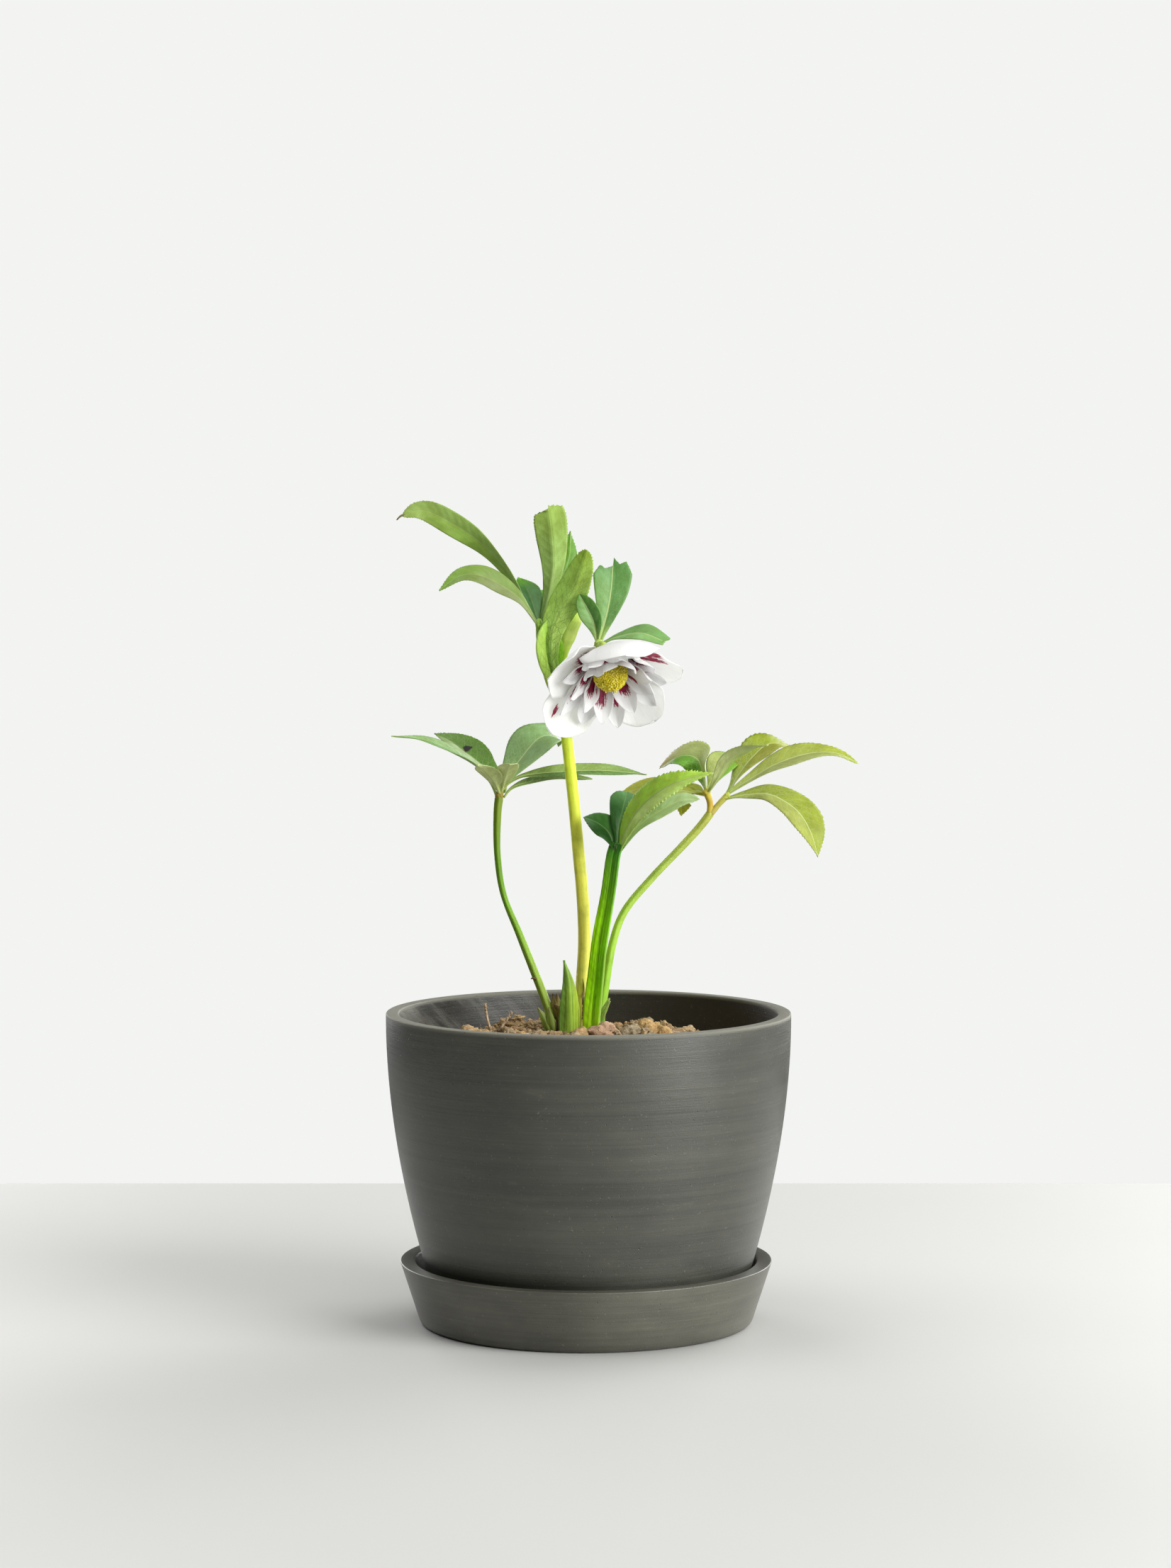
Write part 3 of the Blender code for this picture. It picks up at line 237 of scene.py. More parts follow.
MIDDLE_STRAP = Blade([(2, -10, 132), (2, -10, 152), (4, -10, 172), (6, -10, 190), (10, -10, 213),
                     (12.5, -10, 231), (14.5, -10, 238)], 9.4, ((-0.35, -0.9, 0), (-0.5, -0.8, 0)),
                     (22, 22), STRAP, 0.25, "strap", 0.8)
MIDDLE_BLADES = [
    Blade([(13, -10, 234), (10, -9, 243), (4, -7, 248), (-2.5, -4, 250.5)], 14,
          ((0.4, -0.8, 0.3), (0.1, -0.8, 0.5)), (20, 20), DEEP, 0.5),
    Blade([(14, -10, 235), (15, -8, 247), (17, -2, 255), (19, 6, 262)], 15,
          ((0, -0.9, 0.3), (0, -0.8, 0.6)), (25, 12), DEEP, 0.78, "blunt"),
    Blade([(14.5, -11, 232), (19, -16, 246), (26, -22, 257), (36, -28, 265.5), (47, -32, 270.5),
          (60, -36, 274)], 17, ((-0.7, -0.7, 0.2), (-0.4, -0.7, 0.6)), (8, 18), SERRATED, 0.5),
    Blade([(15.5, -10, 234), (24, -11, 246), (35, -12.5, 254), (45, -13, 259), (54, -14, 260)], 11,
          ((-0.4, -0.7, 0.6), (0, -0.6, 0.8)), (20, 14), GREY_STRIP, 0.6, "round"),
]

SCAPE = [(-3, 0, 130), (-3, 0, 150), (-3, 0, 166), (-2, 1, 189), (-3, 2, 212), (-5, 3, 234),
         (-7, 4, 255), (-10, 6, 283), (-12, 8, 300), (-14, 9, 315)]
SCAPE_RADII = [3.5, 3.5, 3.3, 3.1, 3.0, 3.0, 2.9, 2.85, 2.8, 2.6]
SCAPE_TINTS = [(236, 226, 116), (244, 234, 108), (236, 232, 92), (226, 232, 80), (216, 234, 62),
               (220, 240, 96)]
PEDICEL = [(-13, 8.5, 308), (-13, 9, 316), (-9, 8, 322), (-1, 2, 329), (5, -8, 334.5),
           (7.2, -14.6, 334.6), (8.3, -19.5, 331.1)]
BUD_STALK = [(-14, 9, 312), (-12, 7, 324), (-12, 5, 332), (-9, 3, 342), (-7, 2.6, 348),
             (-5, 2, 356)]
BUD_RADII = [1.8, 1.5, 1.9, 3.5, 3.8, 0.8]
BUD_TINTS = [(196, 222, 50), (184, 218, 40), (222, 240, 132), (208, 236, 90)]
BRACT_STALK = [(-14, 9, 308), (-19, 6, 316), (-22, 3, 327), (-24, 0, 337), (-24.5, -1, 346)]
BRACT_SHEATH = Blade([(-14.5, 8, 310), (-18, 4, 319), (-20.5, 0, 329), (-21, -1.5, 339),
                     (-18, -1, 350)], 18, ((0.2, -0.9, 0), (0.1, -0.9, 0.1)), (66, 8), SHEATHING,
                     stalk=0.3)
BRACT_BLADES = [
    Blade([(-25, 0, 345), (-30, -2, 354), (-37, -5, 366.5), (-45, -8, 377.5), (-55, -11, 387),
          (-67, -13, 394.8), (-77, -14, 399.9), (-84, -14.5, 400.7), (-90.5, -15, 398.1)], 12,
          ((-0.7, -0.3, -0.4), (-0.2, -0.9, 0.2)), (12, 12), BRACT, 0.72, "round"),
    Blade([(-25, -1, 345), (-33, -8, 357), (-42, -15, 364), (-52, -22, 369), (-62, -27, 369),
          (-72, -32, 362)], 12, ((0.6, -0.5, 0.1), (-0.2, -0.7, 0.6)), (12, 12), BRACT_LOW),
    Blade([(-24, 0, 345), (-20, 5, 358), (-17.5, 10, 374), (-18.5, 16, 391), (-20, 20, 402.3)], 17,
          ((-0.1, 1, 0.1), (0.1, 1, -0.1)), (16, 16), BRACT_TALL, 0.92, "cut"),
    Blade([(-16.5, 1, 320), (-18.5, -2.6, 331), (-18, -4.6, 342), (-13.5, -6, 353), (-8, -9.5, 362),
          (-4, -13, 372), (-1, -15, 381.5)], 16.5, ((0.2, 0.9, 0.1), (0.4, 0.8, 0.3)), (14, 14),
          BRACT_BROAD, 0.66, "blunt", 0.3),
    Blade([(-24, 0.5, 345), (-16, 9, 363), (-10, 14, 377), (-9, 18, 391)], 13,
          ((-0.3, 0.9, 0), (-0.3, 0.9, 0)), (20, 20), BRACT_INNER),
    Blade([(-24.6, 0.5, 345), (-28, 14, 356), (-31, 24, 363), (-35, 35, 368)], 12,
          ((0, -0.6, 0.8), (0, -0.5, 0.9)), (14, 14), BRACT_FAR),
    Blade([(-24, 0.5, 345), (-24, 14, 354), (-23, 25, 359), (-22, 37, 362)], 12,
          ((0, -0.6, 0.8), (0, -0.3, 1)), (14, 14), BRACT_FAR),
]
BRACT_TAIL = [(-89, -14.6, 399.0), (-91.5, -14.8, 398.0), (-93.5, -15, 396.0)]
COLLAR_BLADES = [
    Blade([(4.4, -7.5, 335.5), (3, -8, 345), (0, -9, 352), (-4.5, -11, 360)], 11,
          ((-0.3, -0.9, 0.2), (-0.2, -0.9, 0.2)), (24, 24), COLLAR, 0.6, "round"),
    Blade([(5, -7.5, 335.5), (8.5, -5, 348), (11, -1, 361), (12, 3, 374)], 19.5,
          ((-0.1, -0.9, 0.2), (0.1, -0.9, 0)), (14, 14), COLLAR_TALL, 0.9, "blunt"),
    Blade([(5.5, -8, 335.5), (15, -13, 339.5), (26, -20, 341), (37, -27, 337)], 13,
          ((0, -0.6, 0.8), (0.1, -0.7, 0.7)), (10, 16), COLLAR_LOW, 0.66, "blunt"),
]

FLOWER_BASE = (8.5, -20.0, 330.5)
FLOWER_AXIS = (0.17, -0.63, -0.76)
CORE_RADIUS = 4.4
CORE_LENGTH = 3.2
ANTHER_RADIUS = 8.6
ANTHER_CENTRE = 12.0
ANTHER_TINTS = [(232, 214, 64), (218, 202, 48), (240, 226, 96), (204, 190, 44)]

# A petal. turn: degrees round the bloom's axis, 0 for the one that faces up and near. lean:
# degrees away from the axis at its root and at its tip. cup: degrees that its halves rise. roll:
# degrees that it is turned about its own middle. flares: crimson marks as (along, across, half
# length, half width), all as shares of the petal, across from -1 to 1. tip: how wide it ends.
Petal = namedtuple("Petal", "turn length width lean cup roll belly flares tip",
                   defaults=(0.26,))
TEPALS = [
    Petal(358, 37, 41, (88, 10), 16, 8, 0.62, []),
    Petal(76, 36, 29, (78, 50), 14, 8, 0.62, [(0.55, 0.6, 0.2, 0.36), (0.5, 0.1, 0.3, 0.16)]),
    Petal(133, 39, 33, (72, 40), 18, 8, 0.62, [(0.2, 0.0, 0.3, 0.3)]),
    Petal(223, 44, 34, (72, 40), 18, 8, 0.62, [(0.77, -0.27, 0.09, 0.09)]),
    Petal(282, 39, 35, (80, 36), 18, 8, 0.62, [(0.16, 0.0, 0.24, 0.6)]),
]
INNER_PETALS = 19
INNER_LENGTHS = (31.0, 26.0)
INNER_WIDTH = 11.5
INNER_LEANS = ((64, 42), (52, 28))
NEAR_CURL = 18.0
FAR_REACH = 4.0
INNER_TIP = 0.1
NEAR = 0.5                 # an inner petal is near if the cosine of its turn is more than this

SHEATH = Blade([(-9.5, -10, 132), (-9.5, -10, 149), (-9.5, -11, 160), (-10, -11, 170),
               (-12, -10.5, 180.5)], 11.5, ((-0.1, -1, 0), (0, -1, 0.1)), (-30, -30), BASAL, 0.35,
               stalk=0.6)
RIGHT_BUD = [(5.5, -1, 132), (6, -1, 150), (8, -1.5, 156), (10.5, -2, 161)]
CROWN_SCALES = [[(-14, -2, 148), (-17, -4.6, 156), (-17.6, -5.6, 163.5)],
                [(-13, -1, 148), (-15, -2, 155), (-15.6, -2.4, 163)],
                [(-12, -3, 149), (-13.6, -5.6, 154), (-17, -7, 158.5)]]
GREEN_SCALES = [[(-18.5, -5.5, 142), (-20.8, -6, 149), (-25, -6.6, 156.8)],
                [(-17, -5.5, 143), (-18.5, -6.8, 150), (-19.6, -7, 157)]]
BUD_SCALES = [[(3.5, -2.6, 141), (6, -3.6, 151), (10.6, -3.4, 159.5)],
              [(4.5, -3.8, 141), (6, -4.8, 149), (8.6, -5.4, 155)]]
THORN = [(-2.6, -3.2, 161), (-2.3, -3.7, 166), (-2.9, -4.2, 171)]

# The old stub and the dry roots: name, path, radii, colours and CAD node
STUB_TINTS = [(164, 134, 92), (140, 110, 72)]
ROOT_TINTS = [(160, 136, 104), (196, 176, 144)]
STICKS = [("stub", [(-1.5, -6.8, 132), (-1.6, -6.4, 148), (-2.2, -5.9, 161)],
           [1.1, 1.2, 0.7], STUB_TINTS, "old_stub"),
          ("root_left", [(-47, -8, 136), (-48.5, -8, 146), (-50, -8, 152), (-51, -8, 159)],
           [0.7, 0.6, 0.5], ROOT_TINTS, "dry_root_left"),
          ("root_right", [(-44.5, -4, 136), (-43, -4, 146), (-40.5, -4, 150), (-38, -4, 154)],
           [0.7, 0.6, 0.5], ROOT_TINTS, "dry_root_right")]

# Stones pressed into the mound: centre x, y, z, radius and colour
REDDISH_STONE = (196, 160, 128)
TAN_STONE = (186, 154, 108)
YELLOW_STONE = (196, 160, 104)
GREY_STONE = (168, 152, 122)
STONES = [(-59, -6, 143.5, 4.0, TAN_STONE), (-52, -10, 143.0, 3.6, TAN_STONE),
          (-33, -16, 143.2, 3.2, YELLOW_STONE), (-22, -22, 143.4, 3.4, TAN_STONE),
          (-4.5, -24, 144.4, 5.0, TAN_STONE), (8, -22, 145.2, 6.0, REDDISH_STONE),
          (21, -18, 145.0, 5.0, GREY_STONE), (29, -12, 146.2, 5.6, YELLOW_STONE),
          (36, -14, 144.4, 4.2, YELLOW_STONE), (43, -8, 142.6, 3.4, REDDISH_STONE)]
SOIL_TINTS = [(176, 146, 102), (190, 160, 112), (158, 130, 90), (206, 178, 136), (136, 110, 78),
              (172, 150, 116), (184, 148, 100)]


# Paths

def between(places, pins, rows):
    """Rows of three numbers at places, read between the ones given at pins."""
    rows = np.asarray(rows, float)
    return np.stack([np.interp(places, pins, rows[:, k]) for k in range(3)], -1)


def smooth_path(points, count):
    """count points along a Catmull-Rom curve through the given ones, and its length."""
    pins = [Vector(p) for p in points]
    pins = [2 * pins[0] - pins[1]] + pins + [2 * pins[-1] - pins[-2]]
    fine = []
    for a, b, c, d in zip(pins, pins[1:], pins[2:], pins[3:]):
        for step in range(CURVE_STEPS):
            u = step / CURVE_STEPS
            fine.append(0.5 * (2 * b + (c - a) * u + (2 * a - 5 * b + 4 * c - d) * u ** 2
                               + (3 * b - a - 3 * c + d) * u ** 3))
    fine.append(pins[-2])
    fine = np.array(fine)
    reach = np.concatenate([[0.0], np.cumsum(np.linalg.norm(np.diff(fine, axis=0), axis=1))])
    return between(np.linspace(0.0, reach[-1], count), reach, fine), reach[-1]


def unit(rows):
    """Each row of vectors made one long."""
    return rows / np.maximum(np.linalg.norm(rows, axis=-1, keepdims=True), 1e-9)


# One piece's surface

def ring_faces(count, sides, closed=False):
    """Faces between rings of points in a row; closed joins the last ring to the first."""
    faces = []
    for row in range(count if closed else count - 1):
        here, on = row * sides, (row + 1) % count * sides
        for k in range(sides):
            after = (k + 1) % sides
            faces.append((here + k, on + k, on + after, here + after))
    return faces


def sheet_marks(t, share, half, length, flare):
    """Marks of a sheet's points, at t along it and at a share of its half width across."""
    marks = np.zeros((len(t), len(share), 5))
    marks[..., 0] = share * half[:, None]
    marks[..., 1] = (t * length)[:, None]
    marks[..., 2] = t[:, None]
    marks[..., 3] = np.abs(share)
    marks[..., 4] = flare
    return marks


class Skin:
    """Collects the sheets, stalks and lumps of one piece, with the looks of each point.

    marks holds, for each point: millimetres across and along its blade, then along, edge and
    flare, mostly as shares from 0 to 1. The materials read them as the attributes named in MARKS.
    """

    MARKS = ("along", "edge", "flare")

    def __init__(self):
        self.points, self.marks, self.tints, self.faces, self.slots = [], [], [], [], []
        self.count = 0

    def add(self, points, marks, tints, faces, slots=None):
        self.points.append(points.reshape(-1, 3))
        self.marks.append(marks.reshape(-1, 5))
        self.tints.append(np.broadcast_to(tints, points.shape).reshape(-1, 3))
        self.faces.extend([tuple(int(k) + self.count for k in face) for face in faces])
        self.slots.extend(slots or [0] * len(faces))
        self.count += self.points[-1].shape[0]

    def add_sheet(self, middle, over, under, marks, tints, under_tints, slots):
        """A closed thin sheet: middle is a grid of points, over and under its two thicknesses."""
        rows, columns = middle.shape[:2]
        normal = unit(np.cross(np.gradient(middle, axis=1), np.gradient(middle, axis=0)))
        top = middle + normal * over[..., None]
        bottom = middle - normal * under[..., None]
        size = rows * columns
        index = np.arange(size).reshape(rows, columns)
        quads = np.stack([index[:-1, :-1], index[:-1, 1:], index[1:, 1:], index[1:, :-1]], -1)
        quads = quads.reshape(-1, 4)
        loop = np.concatenate([index[0, :-1], index[:-1, -1], index[-1, :0:-1], index[:0:-1, 0]])
        after = np.roll(loop, -1)
        rim = np.stack([loop, loop + size, after + size, after], -1)
        upper, lower = slots
        self.add(np.stack([top, bottom]), np.stack([marks, marks]),
                 np.stack([tints, under_tints]), [*quads, *(quads[:, ::-1] + size), *rim],
                 [upper] * len(quads) + [lower] * len(quads) + [upper] * len(rim))

    def add_stalk(self, points, radii, tints, sides=18, ridges=0, ridge=0.0, step=1.0):
        """A round stalk with rounded ends.

        sides: points round it. ridges, ridge: how many low ridges run along it, and how high they
        are as a share of its radius. step: length between two rings of points.
        """
        _, length = smooth_path(points, 3)
        count = max(int(length / step), 6)
        path, length = smooth_path(points, count)
        along = unit(np.gradient(path, axis=0))
        side = np.cross(along, [0.0, 1.0, 0.0])
        weak = np.linalg.norm(side, axis=1) < 0.3
        side[weak] = np.cross(along[weak], [1.0, 0.0, 0.0])
        side = unit(side)
        up = np.cross(side, along)
        places = np.linspace(0.0, 1.0, count)
        radius = np.interp(places, np.linspace(0, 1, len(radii)), radii)
        for distance in (places * length, (1 - places) * length):
            share = np.clip(distance / np.maximum(radius, 0.1), 0.0, 1.0)
            radius = radius * np.sqrt(np.maximum(1 - (1 - share) ** 2, 0.0004))
        angles = np.arange(sides) * math.tau / sides
        swell = 1 + ridge * np.cos(ridges * angles)
        ring = np.cos(angles)[:, None] * side[:, None] + np.sin(angles)[:, None] * up[:, None]
        grid = path[:, None] + ring * (radius[:, None] * swell)[..., None]
        marks = np.zeros((count, sides, 5))
        marks[..., 0] = angles * radius[:, None]
        marks[..., 1] = (places * length)[:, None]
        marks[..., 2] = places[:, None]
        marks[..., 3] = 0.5
        shades = between(places, np.linspace(0, 1, len(tints)), [srgb(tint) for tint in tints])
        faces = [(a, d, c, b) for a, b, c, d in ring_faces(count, sides)]
        faces.append(tuple(range(sides))[::-1])
        faces.append(tuple((count - 1) * sides + k for k in range(sides)))
        self.add(grid, marks, shades[:, None], faces)

    def add_lump(self, centre, size, tint, detail, rough, seed=0.0):
        """A rounded lump, its points moved in and out by noise. detail: which of LUMPS it is."""
        points, faces = LUMPS[detail]
        spots = [Vector(p) * 1.7 + Vector((seed, 0, 0)) for p in points]
        swell = [1 + rough * (1.5 * noise.noise(p) + 0.8 * noise.noise(p * 3.1)) for p in spots]
        placed = points * np.array(swell)[:, None] * (np.ones(3) * size) + np.array(centre, float)
        marks = np.zeros((len(points), 5))
        marks[:, :2] = placed[:, :2]
        marks[:, 3] = 0.5
        self.add(placed, marks, srgb(tint), faces)

    def build(self, name, materials, slot, *nodes):
        """Make the object, ride it on the root and let it stand for its CAD nodes."""
        points = np.concatenate(self.points) * MM
        marks = np.concatenate(self.marks)
        tints = np.concatenate(self.tints)
        mesh = bpy.data.meshes.new(name)
        mesh.from_pydata(points.tolist(), [], self.faces)
        for material in materials:
            mesh.materials.append(material)
        mesh.polygons.foreach_set("material_index", self.slots)
        mesh.polygons.foreach_set("use_smooth", [True] * len(self.faces))
        colours = mesh.attributes.new("tint", "FLOAT_COLOR", "POINT")
        colours.data.foreach_set("color", np.column_stack([tints, np.ones(len(tints))]).ravel())
        for k, mark in enumerate(self.MARKS):
            layer = mesh.attributes.new(mark, "FLOAT", "POINT")
            layer.data.foreach_set("value", np.ascontiguousarray(marks[:, 2 + k]))
        corners = np.zeros(len(mesh.loops), int)
        mesh.loops.foreach_get("vertex_index", corners)
        places = mesh.uv_layers.new(name="blade")
        places.data.foreach_set("uv", (marks[corners, :2] * BLADE_SCALE).ravel())
        mesh.update()
        item = bpy.data.objects.new(name, mesh)
        bpy.context.scene.collection.objects.link(item)
        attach(item, "root")
        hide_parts(*nodes)


def lump_shapes():
    """Icospheres of one to four subdivisions, as arrays of points and lists of faces."""
    shapes = {}
    for detail in (1, 2, 3, 4):
        cage = bmesh.new()
        bmesh.ops.create_icosphere(cage, subdivisions=detail, radius=1.0)
        points = np.array([tuple(vert.co) for vert in cage.verts])
        shapes[detail] = (points, [tuple(v.index for v in face.verts) for face in cage.faces])
        cage.free()
    return shapes


LUMPS = lump_shapes()


# Blades and petals

# How a blade narrows to its tip: how late it does so, how roundly, and a straight taper
TIPS = {"long": (1.7, 1.0, 0.0), "round": (2.2, 0.6, 0.0), "blunt": (4, 0.5, 0.35),
        "cut": (9, 0.5, 0.12)}


def outline(t, blade):
    """Half width of a blade at t, as a share of its greatest half width."""
    if blade.tip == "strap":
        return 1.0 - (1.0 - blade.stalk) * abs(t - blade.belly) / max(blade.belly, 1 - blade.belly)
    if t < blade.belly:
        rise = t / blade.belly
        return blade.stalk + (1 - blade.stalk) * (rise * rise * (3 - 2 * rise)) ** 0.85
    fall = (t - blade.belly) / (1 - blade.belly)
    late, roundness, taper = TIPS[blade.tip]
    return max(1 - fall ** late, 0) ** roundness * (1 - taper * fall)


def edge_rows(blade, length):
    """Places along a blade, evenly spaced along its edge, with the edge's run and slope there."""
    places = np.linspace(0.0, 1.0, 600)
    half = np.array([max(0.5 * blade.width * outline(t, blade), 0.15) for t in places])
    run = np.concatenate([[0.0], np.cumsum(np.hypot(np.diff(places) * length, np.diff(half)))])
    count = max(int(run[-1] / EDGE_STEP), 12)
    marks = np.linspace(0.0, run[-1], count)
    t = np.interp(marks, run, places)
    half = np.interp(t, places, half)
    slope = np.gradient(half, np.maximum.accumulate(t * length + marks * 1e-6))
    steep = np.sqrt(1 + slope ** 2)
    return t, half, marks, -slope / steep, 1 / steep


def teeth(run, start, look, draw):
    """How far the edge stands out at each place along it: a slow rise to each tooth, a drop."""
    if look.tooth == 0.0:
        return np.zeros_like(run)
    marks, depths = [start], [0.0]
    while marks[-1] < run[-1]:
        marks.append(marks[-1] + look.pitch * draw.uniform(0.6, 1.35))
        depths.append(look.tooth * draw.uniform(0.45, 1.15))
    which = np.clip(np.searchsorted(marks, run), 1, len(marks) - 1)
    marks, depths = np.array(marks), np.array(depths)
    share = (run - marks[which - 1]) / (marks[which] - marks[which - 1])
    saw = np.where(share < TOOTH_RISE, share / TOOTH_RISE, (1 - share) / (1 - TOOTH_RISE))
    fade = np.clip((run - start) / (3 * look.pitch), 0.0, 1.0)
    return np.where(run > start, depths[which] * fade * (np.clip(saw, 0, 1) ** 1.3 - 0.3), 0.0)


def shade_blade(look, t, share):
    """Colour at each point of a blade, from its stalk, halves and tip; the halves carry painted
    light and shade.
    """
    base, left, right, tip = [np.array(srgb(tone)) for tone in look[:4]]
    sharpness = 3.0 if look.rib > 0.1 else 0.6
    half = np.clip(share * sharpness + 0.5, 0.0, 1.0)[None, :, None]
    low = np.clip(1 - t / 0.34, 0.0, 1.0)[:, None, None] ** 1.4
    high = np.clip((t - 0.62) / 0.38, 0.0, 1.0)[:, None, None] ** 1.2
    # The two halves' colours are partly painted light and shade, split sharply at a raised midrib
    colour = (left * (1 - half) + right * half) * (1 - low) + base * low
    return colour * (1 - high) + tip * high


def dark_wedge(spot, t, share, half, length):
    """How near each point is to a dark wedge: its place along and across, size and lean."""
    if not spot:
        return 0.0
    along, across, size, lean = spot
    lean = math.radians(lean)
    ahead = (t[:, None] - along) * length / size
    aside = (share - across) * half[:, None] / size
    rise = ahead * math.sin(lean) + aside * math.cos(lean)
    level = np.abs(ahead * math.cos(lean) - aside * math.sin(lean))
    return np.clip(1.4 - np.maximum(rise / 0.7, 0.5 + (level - 0.6 * rise) / 0.8), 0.0, 1.0)


def add_blade(skin, blade, seed=0.0):
    """One leaflet as a closed sheet with teeth, a grooved midrib, a raised rib and a wavy edge."""
    path, length = smooth_path(blade.path, PATH_PINS)
    t, half, run, forward, outward = edge_rows(blade, length)
    pins = np.linspace(0.0, 1.0, PATH_PINS)
    centre = between(t, pins, path)
    along = unit(between(t, pins, np.gradient(path, axis=0)))
    up = np.outer(1 - t, blade.up[0]) + np.outer(t, blade.up[1])
    up = unit(up - (up * along).sum(1, keepdims=True) * along)
    side = np.cross(along, up)
    look = blade.look
    draw = random.Random(int(seed * 10) + 1)
    start = np.interp(look.start, t, run)
    jags = {True: teeth(run, start, look, draw), False: teeth(run, start, look, draw)}
    share = np.linspace(-1.0, 1.0, 2 * BLADE_HALF + 1)
    share = np.sign(share) * np.abs(share) ** 0.85
    rows = []
    for s in share:
        left = s < 0
        fold = math.radians(blade.fold[0 if left else 1]) * (1.25 - 0.5 * abs(s))
        jag = jags[left] * abs(s) ** 6
        out = s * half * math.cos(fold) + math.copysign(1, s) * jag * outward * math.cos(fold)
        lift = (abs(s) * half + jag * outward) * math.sin(fold)
        ahead = jag * (forward + 0.5)
        if look.lobes:
            reach = 0.5 * look.lobes * (s * half / (0.5 * blade.width) + 1)
            lobe = 1 - 2 * np.abs(np.mod(reach, 1.0) - 0.5)
            ahead = ahead + look.crown * (lobe - 0.3) * abs(s) ** 5 * np.clip((t - 0.8) / 0.1, 0, 1)
        ahead = ahead + look.slant * s * np.clip((t - 0.75) / 0.25, 0, 1) ** 2
        wave = look.wave * s * s * np.sin(run / 5.5 + 2.1 * seed + (2.4 if left else 0.0))
        phase = (t * length - VEIN_LEAN * abs(s) * half) / VEIN_SPACING + (0.35 if left else 0.0)
        quilt = QUILT * (np.abs(np.sin(math.pi * phase)) - 0.6) * (1 - s ** 4) * min(abs(s) * 4, 1)
        quilt = quilt * np.clip(half / 4.0, 0.0, 1.0)
        rows.append(centre + side * out[:, None] + up * (lift + wave + quilt)[:, None]
                    + along * ahead[:, None])
    width = np.abs(share) * half[:, None]
    fade = (1 - 0.75 * t)[:, None] * look.rib
    groove = 0.28 * fade * np.exp(-(width / 0.55) ** 2)
    rib = 0.75 * fade * np.exp(-(width / 0.6) ** 2)
    thin = 0.5 * look.thick * (1 - 0.45 * np.abs(share) ** 3)
    marks = sheet_marks(t, share, half, length, dark_wedge(blade.spot, t, share, half, length))
    tints = shade_blade(look, t, share)
    lower = tints * (1 - look.pale) + np.array(srgb(PALE_UNDER)) * look.pale
    skin.add_sheet(np.stack(rows, 1), thin - groove, thin + rib, marks, tints, lower, look.sides)


def add_blades(skin, blades, seed):
    """Several leaflets, each with a seed of its own."""
    for k, blade in enumerate(blades):
        add_blade(skin, blade, seed + k)


def flower_frame():
    """Axis of the bloom, and the two directions across it: up-and-near, and across."""
    axis = Vector(FLOWER_AXIS).normalized()
    near = (Vector((0, 0, 1)) - axis.z * axis).normalized()
    return np.array(axis), np.array(near), np.array(axis.cross(near))


def petal_outline(t, belly, tip):
    """Half width of a petal at t, as a share of its greatest half width."""
    rise = np.clip(t / belly, 0.0, 1.0)
    fall = np.clip((t - belly) / (1 - belly), 0.0, 1.0)
    lower = 0.12 + 0.88 * np.sin(rise * math.pi / 2) ** 1.1
    upper = tip + (1 - tip) * (1 - fall ** 2.2) ** 0.7
    end = np.sqrt(np.maximum(1 - ((fall - 0.9) / 0.1) ** 2, 0.01))
    return np.where(t < belly, lower, upper * np.where(fall > 0.9, end, 1))


